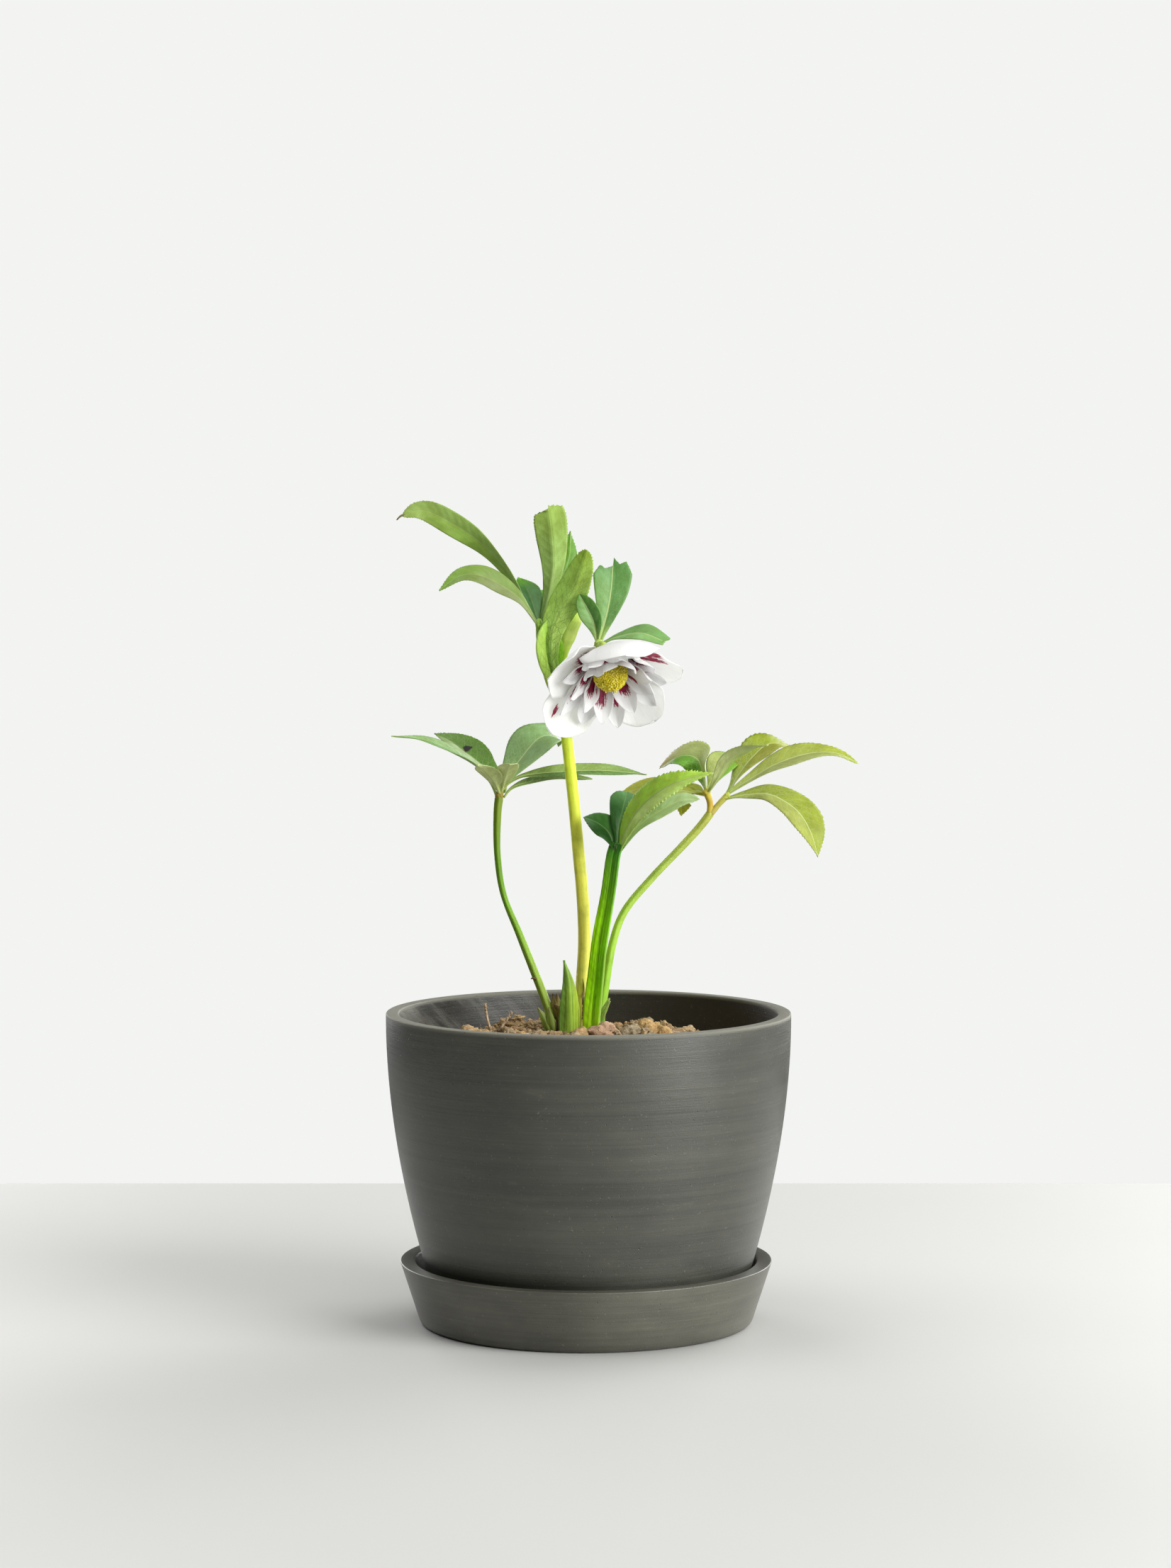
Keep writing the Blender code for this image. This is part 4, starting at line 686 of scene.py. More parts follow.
def add_petal(skin, petal, seed, ripple, tint, sides=(1, 0)):
    """One petal as a closed sheet, rooted on the core and curving towards its tip.

    ripple: how far its edge rises and falls. sides: which of its piece's materials lie on its
    outer and its inner face.
    """
    axis, near, across = flower_frame()
    turn, roll = math.radians(petal.turn), math.radians(petal.roll)
    outward = near * math.cos(turn) - across * math.sin(turn)
    sideways = np.cross(axis, outward)
    steps = 200
    t = np.linspace(0.0, 1.0, steps + 1)
    lean = np.radians(petal.lean[0] + (petal.lean[1] - petal.lean[0]) * t)
    along = outward * np.sin(lean)[:, None] + axis * np.cos(lean)[:, None]
    inward = axis * np.sin(lean)[:, None] - outward * np.cos(lean)[:, None]
    root = np.array(FLOWER_BASE) + outward * (CORE_RADIUS - 1.6) + axis * 0.4 * CORE_LENGTH
    run = np.concatenate([np.zeros((1, 3)), np.cumsum(along[:-1], axis=0)])
    path = root + run * petal.length / steps
    picks = np.linspace(0, 1, PETAL_ROWS)
    picks = np.unique(np.round(steps * (1 - (1 - picks) ** 1.35)).astype(int))
    t, path, inward = t[picks], path[picks], inward[picks]
    half = 0.5 * petal.width * petal_outline(t, petal.belly, petal.tip)
    spin = sideways * math.cos(roll) + inward * math.sin(roll)
    rise = inward * math.cos(roll) - sideways * math.sin(roll)
    share = np.linspace(-1.0, 1.0, 2 * PETAL_HALF + 1)
    rows = []
    for s in share:
        bend = math.radians(petal.cup) * abs(s)
        out = s * half * math.cos(bend)
        lift = abs(s) * half * math.sin(bend)
        phase = 5.2 * t * petal.length / 12 + 4.1 * seed + 1.7 * math.copysign(1, s)
        frill = ripple * s * s * np.sin(phase)
        furrow = 0.12 * np.cos(s * 17 + seed) * (1 - t) + 0.5 * np.exp(-(s / 0.12) ** 2) * -0.35 * t
        notch = 0.35 * ripple * np.sin(s * 9 + 5 * seed) * t ** 6
        rows.append(path + spin * out[:, None] + rise * (lift + frill + furrow)[:, None]
                    + along[picks] * notch[:, None])
    middle = np.stack(rows, 1)
    thin = 0.5 * PETAL_THICKNESS * (1 - 0.5 * np.abs(share) ** 3) * (1 - 0.4 * t[:, None])
    field = np.full(middle.shape[:2], -1.0)
    for place, offset, tall, wide in petal.flares:
        hill = 1 - ((t[:, None] - place) / tall) ** 2 - ((share - offset) / wide) ** 2
        field = np.maximum(field, hill)
    marks = sheet_marks(t, share, half, petal.length, field)
    tints = np.broadcast_to(np.array(srgb(tint)), middle.shape)
    skin.add_sheet(middle, thin, thin, marks, tints, tints, sides)


# Materials

class Wire:
    """A node's output. Arithmetic with numbers or other wires makes maths nodes."""

    def __init__(self, wires, socket):
        self.wires = wires
        self.socket = socket

    def __add__(self, other):
        return self.wires.math("ADD", self, other)

    def __sub__(self, other):
        return self.wires.math("SUBTRACT", self, other)

    def __mul__(self, other):
        return self.wires.math("MULTIPLY", self, other)

    def __truediv__(self, other):
        return self.wires.math("DIVIDE", self, other)

    def __lt__(self, other):
        return self.wires.math("LESS_THAN", self, other)

    def __abs__(self):
        return self.wires.math("ABSOLUTE", self)


class Wires:
    """Short calls for building a material's nodes."""

    def __init__(self, name):
        self.material = bpy.data.materials.new(name)
        self.material.use_nodes = True
        self.nodes = self.material.node_tree.nodes
        self.shader = self.nodes["Principled BSDF"]

    def put(self, socket, value):
        if isinstance(value, Wire):
            self.material.node_tree.links.new(value.socket, socket)
        elif isinstance(value, tuple) and socket.type == "RGBA":
            socket.default_value = (*value, 1.0)
        else:
            socket.default_value = value

    def node(self, kind, inputs, output=0, **settings):
        """A new node with its settings and inputs, and the wire from one of its outputs."""
        node = self.nodes.new("ShaderNode" + kind)
        for name, value in settings.items():
            setattr(node, name, value)
        for socket, value in inputs.items():
            self.put(node.inputs[socket], value)
        return Wire(self, node.outputs[output])

    def math(self, operation, *values):
        return self.node("Math", dict(enumerate(values)), operation=operation)

    def mix(self, factor, first, second, blend="MIX"):
        sockets = {0: factor, 6: first, 7: second}
        return self.node("Mix", sockets, 2, data_type="RGBA", blend_type=blend)

    def smooth(self, value, low, high, start=0.0, end=1.0):
        """A smooth step: start where value is low, end where it is high."""
        sockets = dict(enumerate((value, low, high, start, end)))
        return self.node("MapRange", sockets, interpolation_type="SMOOTHSTEP")

    def attribute(self, name, output="Fac"):
        return self.node("Attribute", {}, output, attribute_name=name)

    def blade_place(self):
        """Where a point is on its own blade, in tenths of a metre across and along."""
        return self.node("UVMap", {}, uv_map="blade")

    def part_place(self):
        """Where a point is in the part's frame, in metres."""
        return self.node("TexCoord", {}, "Object")

    def split(self, vector):
        parts = self.nodes.new("ShaderNodeSeparateXYZ")
        self.put(parts.inputs[0], vector)
        return [Wire(self, output) for output in parts.outputs]

    def join(self, x, y, z=0.0):
        return self.node("CombineXYZ", {0: x, 1: y, 2: z})

    def scaled(self, vector, scale):
        """A vector times one number, or times one for each axis."""
        factors = scale if isinstance(scale, tuple) else (scale,) * 3
        return self.node("VectorMath", {0: vector, 1: factors}, operation="MULTIPLY")

    def noise(self, vector, scale, detail=2.0, rough=0.5):
        sockets = {"Vector": self.scaled(vector, scale), "Scale": 1.0, "Detail": detail,
                   "Roughness": rough}
        return self.node("TexNoise", sockets, "Fac")

    def cells(self, vector, scale, feature="DISTANCE_TO_EDGE"):
        sockets = {"Vector": self.scaled(vector, scale), "Scale": 1.0}
        return self.node("TexVoronoi", sockets, "Distance", feature=feature)

    def tinted(self, shade, blue=None):
        """The piece's own tint, darker or lighter by a shade, and by another one in blue."""
        tint = self.attribute("tint", "Color")
        return self.mix(1.0, tint, self.join(shade, shade, blue or shade), "MULTIPLY")

    def bump(self, height, distance, strength):
        sockets = {"Height": height, "Distance": distance, "Strength": strength}
        self.put(self.shader.inputs["Normal"], self.node("Bump", sockets))

    def finish(self, colour, roughness, specular=0.5, glow=0.0):
        """Set the surface; glow is the share of light that shines through."""
        self.put(self.shader.inputs["Base Color"], colour)
        self.put(self.shader.inputs["Roughness"], roughness)
        self.shader.inputs["Specular IOR Level"].default_value = specular
        if glow:
            surface = Wire(self, self.shader.outputs[0])
            through = self.node("BsdfTranslucent", {"Color": colour})
            both = self.node("MixShader", {0: glow, 1: surface, 2: through})
            self.put(self.nodes["Material Output"].inputs["Surface"], both)
        return self.material


def leaf_material(name, vein, raised, gloss, vein_strength, net_strength, drawn_out=0.62):
    """A living leaf: midrib, side veins and a fine net, on the tint of each blade.

    raised: how far the veins stand out. drawn_out: the net's meshes are longer the less it is.
    """
    w = Wires(name)
    place = w.blade_place()
    x, y, _ = w.split(place)
    along = w.attribute("along")
    edge = w.attribute("edge")
    width = abs(x)
    midrib = w.smooth(width, along * -0.0045 + 0.0068, 0.0018)
    run = y - width * VEIN_LEAN
    wobble = w.noise(place, 60.0) - 0.5
    phase = run * (1 / BLADE_SCALE / VEIN_SPACING) + wobble * 0.5 + (x < 0.0) * 0.35
    gap = abs(w.math("FRACT", phase) - 0.5)
    side_vein = w.smooth(gap, 0.44, 0.485) * w.smooth(edge, 1.0, 0.7)
    net = w.smooth(w.cells(place, (62.0, 62.0 * drawn_out, 62.0)), 0.08, 0.0)
    fine_net = w.smooth(w.cells(place, 150.0), 0.1, 0.0)
    fine = w.math("MAXIMUM", w.math("MAXIMUM", side_vein * 0.9, net * 0.7), fine_net * 0.3)
    fine = fine * w.smooth(along, 1.0, 0.2, 0.35, 1.0)
    mottle = w.noise(place, 11.0, 3.0)
    streak = w.noise(place, (70.0, 17.5, 70.0), 3.0)
    grain = w.noise(place, 190.0)
    shade = mottle * 0.85 + streak * 0.36 + grain * 0.18 + 0.3
    colour = w.tinted(shade, shade * shade)
    colour = w.mix(fine * net_strength, colour, vein)
    colour = w.mix(midrib * vein_strength, colour, srgb((206, 222, 150)))
    colour = w.mix(w.smooth(edge, 0.94, 1.0, 0.0, 0.3), colour, srgb((150, 166, 84)))
    dark_wedge_mask = w.smooth(grain * 0.3 + w.attribute("flare"), 0.55, 0.75)
    colour = w.mix(dark_wedge_mask, colour, (0.02, 0.014, 0.006))
    bruise = w.smooth(w.noise(place, 24.0, 4.0, 0.65), 0.62, 0.8, 0.0, 0.35)
    colour = w.mix(bruise, colour, srgb((120, 140, 44)))
    w.bump(w.math("MAXIMUM", fine, midrib) * raised + grain * 0.2, 0.0004, 0.6)
    return w.finish(colour, mottle * 0.24 + (gloss - 0.12), 0.35, LEAF_GLOW)


def stalk_material():
    """A living stalk: long fine streaks, brown flecks and a satin skin."""
    w = Wires("stalk")
    place = w.blade_place()
    streak = w.noise(place, (220.0, 13.2, 220.0), 3.0)
    mottle = w.noise(place, 12.0, 3.0)
    fleck = w.smooth(w.noise(place, (190.0, 95.0, 190.0)), 0.62, 0.72, 0.0, 0.3)
    colour = w.tinted(streak * 0.36 + 0.82)
    colour = w.mix(w.smooth(mottle, 0.4, 0.75, 0.0, 0.3), colour, (0.12, 0.2, 0.03))
    colour = w.mix(fleck, colour, srgb((150, 110, 60)))
    w.bump(streak * 0.6 + mottle * 0.4, 0.0003, 0.6)
    return w.finish(colour, mottle * 0.15 + 0.42, 0.3, 0.1)


def ribbed_material():
    """A channelled leaf base: dark and bright ribs that run its whole length, partly stripes of its
    own colour and partly painted shade and light on the ribs.
    """
    w = Wires("strap")
    place = w.blade_place()
    ribs = w.noise(place, (130.0, 2.6, 130.0), 1.0)
    threads = w.noise(place, (420.0, 12.6, 420.0), 3.0)
    mottle = w.noise(place, 14.0, 3.0)
    # Dark and bright ribs: stripes of its own colour, and painted shade and light on the ribs
    shade = w.smooth(threads * 0.35 + ribs + mottle * 0.3, 0.6, 1.05, 0.62, 1.25)
    rim = w.smooth(w.attribute("edge"), 0.86, 1.0)
    rim = rim * w.smooth(w.attribute("along"), 0.8, 0.1, 0.1, 0.7)
    colour = w.mix(rim, w.tinted(shade, shade * 0.9), srgb((176, 200, 110)))
    w.bump(ribs * 0.8 + threads * 0.3, 0.0005, 0.6)
    return w.finish(colour, mottle * 0.15 + 0.4, 0.3, 0.25)


def petal_material(name, flared):
    """White petals: fine long veins, a tinted root and, if flared, feathered crimson marks. On
    flared
    petals the root is dark olive: their own colour and painted shade in the bloom's throat.
    """
    w = Wires(name)
    place = w.blade_place()
    along = w.attribute("along")
    x, y, _ = w.split(place)
    fan = w.join(x / (along * 0.9 + 0.35), y)
    lines = w.noise(fan, (150.0, 10.5, 150.0), 3.0, 0.6)
    feather = w.noise(fan, (170.0, 20.4, 170.0), 4.0, 0.65)
    vein = w.smooth(lines, 0.52, 0.66, 0.0, 0.14)
    colour = w.mix(vein, w.attribute("tint", "Color"), srgb((206, 207, 202)))
    blush = w.smooth(along, 0.55, 0.0) * w.smooth(lines, 0.4, 0.62, 0.2, 0.9)
    colour = w.mix(blush, colour, srgb((150, 104, 96) if flared else (206, 218, 170)))
    # The root: on flared petals dark olive, partly their own colour and partly painted shade in the
    # bloom's throat; on the others green
    root = w.smooth(along, 0.26, 0.0, 0.0, 0.9)
    colour = w.mix(root, colour, srgb((66, 60, 24) if flared else (150, 182, 92)))
    if flared:
        ragged = feather * 3.0 + w.noise(place, 46.0, 3.0, 0.65) - 1.95
        stain = w.smooth(w.attribute("flare") + ragged, 0.16, 0.36)
        crimson = w.mix(w.smooth(feather, 0.3, 0.7), srgb((104, 0, 36)), srgb((184, 14, 86)))
        crimson = w.mix(w.smooth(along, 0.46, 0.16), crimson, srgb((46, 4, 16)))
        colour = w.mix(stain, colour, crimson)
    cloud = w.noise(place, 16.0, 3.0)
    colour = w.mix(w.smooth(cloud, 0.4, 0.75, 0.0, 0.14), colour, srgb((222, 222, 218)))
    w.bump(lines * 0.7 + cloud * 0.5, 0.0004, 0.5)
    return w.finish(colour, w.attribute("edge") * 0.08 + 0.42, 0.35, 0.5)


def anther_material():
    w = Wires("anther")
    place = w.part_place()
    grain = w.noise(place, 1500.0, 3.0)
    patch = w.smooth(w.noise(place, 260.0), 0.45, 0.7, 0.0, 0.45)
    colour = w.mix(patch, w.tinted(grain * 0.7 + 0.62), srgb((226, 208, 96)))
    w.bump(grain, 0.0002, 0.8)
    return w.finish(colour, 0.8, 0.2)


def clay_material(name, dark, light, streaks):
    """Matt dark clay: level brushed streaks, cloudy patches and fine pale grains.

    The inside, marked by along, is painted near black as shade, with pale slanting scuffs towards
    the left: dust marks, kept to the left as painted light where light falls on the inside. The
    rim, marked by edge, is dusty, and painted lighter as light falling on its top.
    """
    w = Wires(name)
    place = w.part_place()
    rim = w.attribute("edge")
    x, y, z = w.split(place)
    brushed = w.noise(place, (6.0, 6.0, 420.0), 4.0, 0.62)
    fine = w.noise(place, (26.0, 26.0, 1500.0), 3.0, 0.6)
    cloud = w.noise(place, (14.0, 14.0, 34.0), 4.0, 0.6)
    speck = w.smooth(w.noise(place, 950.0), 0.66, 0.76, 0.0, 0.2)
    pit = w.smooth(w.cells(place, 210.0, "F1"), 0.09, 0.03)
    level = brushed * streaks + fine * (0.4 * streaks) + cloud * 0.75
    colour = w.mix(w.smooth(level, 0.35, 0.7 + 1.1 * streaks), dark, light)
    scuff = w.smooth(w.noise(place, (30.0, 30.0, 160.0), 5.0, 0.7), 0.6, 0.78, 0.0, 0.16)
    colour = w.mix(scuff, colour, srgb((128, 126, 112)))
    # The lining: the clay painted near black as shade, with pale dust scuffs on the left only,
    # where they also stand for painted light
    slanting = w.join(z * 0.9 + x, y, z * 0.2)
    scuffs_and_painted_light = w.smooth(w.noise(slanting, (110.0, 24.0, 40.0), 4.0, 0.6), 0.42, 0.7)
    scuffs_and_painted_light = scuffs_and_painted_light * w.smooth(x, 0.0, -0.07, 0.0, 0.7)
    lining_painted_shade = w.mix(scuffs_and_painted_light, w.mix(0.85, colour, (0.012, 0.013, 0.011)), srgb((118, 118, 110)))
    colour = w.mix(w.attribute("along"), colour, lining_painted_shade)
    # The rim top: dust, and painted light where light falls on it
    colour = w.mix(rim * 0.3, colour, srgb((150, 148, 130)))
    colour = w.mix(speck, colour, srgb((170, 166, 152)))
    # Small pits, pressed in by the bump, painted dark as the shade in them
    colour = w.mix(pit * 0.6, colour, (0.012, 0.012, 0.010))
    grain = w.noise(place, 1400.0)
    w.bump(brushed * 0.5 + fine * 0.4 + grain * 0.35 - pit, 0.00035, 0.55)
    return w.finish(colour, cloud * 0.2 + rim * 0.25 + 0.32, 0.7)


def soil_material():
    """Dry crumbly compost: tinted crumbs with grit, dust and pores painted dark as the shade in
    them.
    """
    w = Wires("soil")
    place = w.part_place()
    lump = w.noise(place, 380.0, 5.0, 0.72)
    grit = w.noise(place, 1500.0, 3.0, 0.7)
    pale = w.smooth(w.noise(place, 700.0), 0.6, 0.72, 0.0, 0.5)
    painted_shade_pore = w.smooth(w.cells(place, 520.0, "F1"), 0.22, 0.08, 0.0, 0.5)
    colour = w.mix(pale, w.tinted(lump * 0.9 + 0.5), srgb((214, 196, 164)))
    # Pores painted dark: painted shade in the small holes
    colour = w.mix(painted_shade_pore, colour, (0.03, 0.02, 0.012))
    w.bump(lump * 0.8 + grit * 0.5, 0.0016, 1.0)
    return w.finish(colour, 0.93)


def dry_material():
    """Dead sheaths, stub and roots: straw fibres with brown blotches."""
    w = Wires("dry")
    place = w.blade_place()
    fibre = w.noise(place, (330.0, 26.4, 330.0), 4.0, 0.65)
    patch = w.smooth(w.noise(place, 40.0, 3.0), 0.52, 0.72, 0.0, 0.45)
    colour = w.mix(patch, w.tinted(fibre * 0.9 + 0.5), srgb((82, 56, 34)))
    w.bump(fibre, 0.0006, 0.9)
    return w.finish(colour, 0.85)


def table_material():
    w = Wires("table")
    place = w.part_place()
    cloud = w.noise(place, 1.6, 3.0)
    w.bump(w.noise(place, 900.0), 0.0001, 0.2)
    return w.finish(w.mix(cloud, TABLE_PALE, TABLE_GREY), cloud * 0.1 + 0.55)


TABLE_PALE = (0.515, 0.515, 0.495)
TABLE_GREY = (0.455, 0.455, 0.435)

LEAF_GLOW = 0.25
LEAF_TOP = leaf_material("leaf upper side", srgb((212, 228, 176)), -0.5, 0.4, 0.9, 0.42)
LEAF_UNDER = leaf_material("leaf lower side", srgb((210, 220, 156)), 0.6, 0.5, 0.7, 0.26)
BRACT_TOP = leaf_material("bract upper side", srgb((98, 134, 56)), -0.2, 0.42, 0.12, 0.16)
BRACT_UNDER = leaf_material("bract lower side", srgb((98, 134, 56)), 0.3, 0.42, 0.16, 0.2)
BRACT_NET = leaf_material("netted bract", srgb((52, 92, 30)), -0.7, 0.46, 0.1, 0.62, 0.24)
COLLAR_SIDE = leaf_material("collar", srgb((206, 228, 160)), -0.3, 0.42, 0.85, 0.22)
# A shiny leaf whose paler veins and full-strength midrib also paint white glints along the midrib
SHINY_LEAF_PAINTED_GLINTS = leaf_material("shiny leaf", srgb((222, 234, 200)), -0.8, 0.34, 1.0, 0.3)
STALK = stalk_material()
RIBBED = ribbed_material()
PETAL_SIDES = [petal_material("petal inside", True), petal_material("petal back", False)]
ANTHER = anther_material()
POT_CLAY = clay_material("pot clay", (0.028, 0.029, 0.023), (0.084, 0.086, 0.064), 0.45)
SAUCER_CLAY = clay_material("saucer clay", (0.046, 0.045, 0.034), (0.150, 0.147, 0.110), 0.35)
SOIL = soil_material()
DRYNESS = dry_material()


# Pot and saucer

def pot_radius(height):
    """Outer radius of the pot's wall at a height."""
    narrow = max(1 - height / SWELL_HEIGHT, 0.0) ** SWELL_POWER
    return RIM_RADIUS - SWELL_DEPTH * narrow


def rounded(corner, before, after, radius):
    """Points that round a corner of a profile with an arc-like curve."""
    corner, before, after = np.array(corner), np.array(before), np.array(after)
    start = corner + unit(before - corner) * radius
    end = corner + unit(after - corner) * radius
    shares = np.linspace(0.0, 1.0, 5)
    return [tuple((1 - s) ** 2 * start + 2 * s * (1 - s) * corner + s * s * end) for s in shares]


def circle(radius, count):
    """x and y of points on a circle round the upright axis."""
    angles = [math.tau * k / count for k in range(count)]
    return [(radius * math.cos(angle), radius * math.sin(angle)) for angle in angles]


def turned(name, profile, closed, material, slot, node, centre_x=0.0, lining_painted_shade=slice(0),
           rim=slice(0)):
    """A finely turned solid that stands for its CAD node.

    lining_painted_shade, rim: which points of its profile are inside, where the clay paints
    shade, and which are on the rim.
    """
    grid = np.array([[(x + centre_x, y, height) for x, y in circle(max(radius, 0.02), ROUND_STEPS)]
                     for radius, height in profile])
    faces = ring_faces(len(profile), ROUND_STEPS, closed)
    if not closed:
        faces.append(tuple(range(ROUND_STEPS)))
        faces.append(tuple((len(profile) - 1) * ROUND_STEPS + k
                           for k in reversed(range(ROUND_STEPS))))
    marks = np.zeros((len(profile), ROUND_STEPS, 5))
    marks[..., 0] = np.arange(ROUND_STEPS) * RIM_RADIUS * math.tau / ROUND_STEPS
    marks[..., 1] = grid[..., 2]
    # The inside points, which the clay paints dark as shade
    marks[lining_painted_shade, :, 2] = 1.0
    marks[rim, :, 3] = 1.0
    skin = Skin()
    skin.add(grid, marks, np.ones(3), faces)
    skin.build(name, [material], slot, node)


def make_pot():
    foot = SAUCER_FLOOR + GAP
    floor = foot + POT_FLOOR
    outer = [(pot_radius(h), h) for h in np.linspace(RIM_HEIGHT - 2, foot + FOOT_ROUND, 40)]
    inner = [(pot_radius(h) - WALL, h) for h in np.linspace(floor + 6, RIM_HEIGHT - 2, 30)]
    profile = [(DRAIN_RADIUS, floor), (pot_radius(floor) - WALL - 6, floor)] + inner
    lining_painted_shade = slice(0, len(profile))
    rim_inner, rim_outer = (RIM_RADIUS - WALL, RIM_HEIGHT), (RIM_RADIUS, RIM_HEIGHT)
    profile += rounded(rim_inner, inner[-1], rim_outer, 0.8)
    profile += rounded(rim_outer, rim_inner, outer[0], 0.8)
    rim = slice(lining_painted_shade.stop, len(profile))
    profile += outer
    profile += rounded((pot_radius(foot) - 0.6, foot), outer[-1], (DRAIN_RADIUS, foot), 2.6)
    profile.append((DRAIN_RADIUS, foot))
    turned("pot_body", profile, True, POT_CLAY, "pot_clay", "pot", 0.0, lining_painted_shade, rim)


def make_saucer():
    slope = (SAUCER_RIM_RADIUS - SAUCER_BASE_RADIUS) / SAUCER_HEIGHT
    inner_rim = SAUCER_RIM_RADIUS - SAUCER_WALL
    inner_floor = inner_rim - slope * (SAUCER_HEIGHT - SAUCER_FLOOR)
    corners = [(0.0, SAUCER_FLOOR), (inner_floor, SAUCER_FLOOR), (inner_rim, SAUCER_HEIGHT),
               (SAUCER_RIM_RADIUS, SAUCER_HEIGHT), (SAUCER_BASE_RADIUS + 0.4, 1.2),
               (SAUCER_BASE_RADIUS - 1.6, 0.0), (0.0, 0.0)]
    profile = [corners[0]]
    radii = (2.4, 0.9, 0.7, 1.4, 0.6)
    for before, corner, after, radius in zip(corners, corners[1:], corners[2:], radii):
        profile += rounded(corner, before, after, radius)
    profile.append(corners[-1])
    turned("saucer_dish", profile, False, SAUCER_CLAY, "saucer_clay", "saucer", SAUCER_SHIFT_X)


# Soil

def soil_height(x, y):
    """The soil's top, as in the part: low at the wall, a mound of heaps and clods at the plant."""
    far = math.hypot(x + 6.0, y + 2.0)
    share = min(max((MOUND_OUTER - far) / (MOUND_OUTER - MOUND_INNER), 0.0), 1.0)
    base = SOIL_EDGE_HEIGHT + (MOUND_HEIGHT - SOIL_EDGE_HEIGHT) * share * share * (3 - 2 * share)
    heaps = noise.noise(Vector((x, y, HEAP_LAYER)) / HEAP_SPACING)
    clods = noise.noise(Vector((x, y, CLOD_LAYER)) / CLOD_SPACING)
    return base + HEAP_HEIGHT * heaps + CLOD_HEIGHT * clods


def fine_soil_height(x, y):
    crumb = noise.noise(Vector((x, y, 9.0)) / 2.6)
    grit = noise.noise(Vector((x, y, 5.0)) / 1.1)
    return soil_height(x, y) + 0.7 * crumb + 0.3 * grit - 0.5


def make_soil_bed(outer):
    """The bed: its rough top, and its sides down along the pot's wall."""
    rows = [[(x, y, fine_soil_height(x, y))
             for x, y in circle(outer * (ring / SOIL_RINGS) ** 0.85, SOIL_SPOKES)]
            for ring in range(SOIL_RINGS + 1)]
    for height in (115.0, 70.0, 35.0, 20.0):
        radius = pot_radius(height) - WALL - GAP - 0.4
        rows.append([(x, y, height) for x, y in circle(radius, SOIL_SPOKES)])
    grid = np.array(rows)
    faces = ring_faces(len(rows), SOIL_SPOKES)
    faces.append(tuple((len(rows) - 1) * SOIL_SPOKES + k for k in reversed(range(SOIL_SPOKES))))
    marks = np.zeros(grid.shape[:2] + (5,))
    marks[..., :2] = grid[..., :2]
    bed = Skin()
    bed.add(grid, marks, srgb(SOIL_TINTS[2]), faces)
    bed.build("soil_bed", [SOIL], "soil", "soil")


def make_soil():
    """The bed, stones pressed into it, and crumbs scattered by seeded draws."""
    outer = pot_radius(SOIL_EDGE_HEIGHT) - WALL - GAP
    make_soil_bed(outer)
    crumbs = Skin()
    draw = random.Random(23)
    for x, y, z, radius, tint in STONES:
        size = [radius * draw.uniform(0.9, 1.2), radius * draw.uniform(0.85, 1.1),
                radius * draw.uniform(0.75, 0.95)]
        crumbs.add_lump((x, y, z), size, tint, 4, 0.28, draw.uniform(0, 50))
    reach = outer - 3.0
    for k in range(CRUMBS):
        large = k < LARGE_CRUMBS
        radius = draw.uniform(1.2, 2.7) if large else draw.uniform(0.3, 1.1)
        far = reach * math.sqrt(draw.random()) if k % 2 else abs(draw.gauss(0, 26)) + 6
        angle = draw.uniform(0, math.tau)
        far = min(far, reach)
        x, y = -6 * (far < 50) + far * math.cos(angle), far * math.sin(angle)
        z = soil_height(x, y) + radius * draw.uniform(-0.1, 0.45)
        size = [radius * draw.uniform(0.8, 1.3), radius * draw.uniform(0.8, 1.2),
                radius * draw.uniform(0.6, 1.0)]
        tint = draw.choice(SOIL_TINTS)
        crumbs.add_lump((x, y, z), size, tint, 3 if large else 1, 0.45, draw.uniform(0, 50))
    crumbs.build("soil_crumbs", [SOIL], "soil", "soil")


# Leaves and stem

def make_left_leaf():
    stalk = Skin()
    stalk.add_stalk(LEFT_PETIOLE, [2.2, 2.0, 1.8, 1.4, 1.5, 2.0], LEFT_TINTS, 24, 4, 0.09)
    stalk.add_lump((-44, 5, 260.6), (2.2, 1.9, 2.8), (150, 132, 56), 3, 0.15)
    stalk.add_stalk([(-25.4, -3.4, 170.2), (-27.2, -4.2, 171.0), (-28.6, -4.4, 170.6)],
                    [0.9, 0.7, 0.2], [(96, 72, 40)], 8, step=0.4)
    stalk.build("left_petiole", [STALK], "leaf_green", "leaf_left")
    leaf = Skin()
    add_blades(leaf, LEFT_BLADES, 0)
    leaf.build("left_leaflets", [LEAF_TOP, LEAF_UNDER], "leaf_green", "leaf_left")


def make_right_leaf():
    stalk = Skin()
    stalk.add_stalk(RIGHT_PETIOLE, [2.0, 1.9, 1.7, 1.7, 1.9], RIGHT_TINTS, 24, 4, 0.12)
    stalk.add_stalk(RIGHT_FORK_LEFT, [1.7, 1.5, 1.8],
                    [(200, 196, 84), (200, 162, 50), (200, 186, 74)], 18, 5, 0.05, 0.5)
    stalk.add_stalk(RIGHT_FORK_RIGHT, [1.6, 1.4, 1.6], [(202, 186, 96), (190, 192, 84)],
                    18, 5, 0.05, 0.5)
    stalk.add_lump((58.3, 5.4, 262), (2.2, 1.9, 2.1), (196, 178, 60), 3, 0.15)
    stalk.add_lump((68.5, 5, 260.6), (1.6, 1.5, 1.7), (190, 196, 84), 3, 0.15)
    stalk.build("right_petiole", [STALK], "leaf_lime", "leaf_right")
    leaf = Skin()
    add_blades(leaf, RIGHT_BLADES, 7)
    leaf.build("right_leaflets", [LEAF_TOP, LEAF_UNDER], "leaf_lime", "leaf_right")


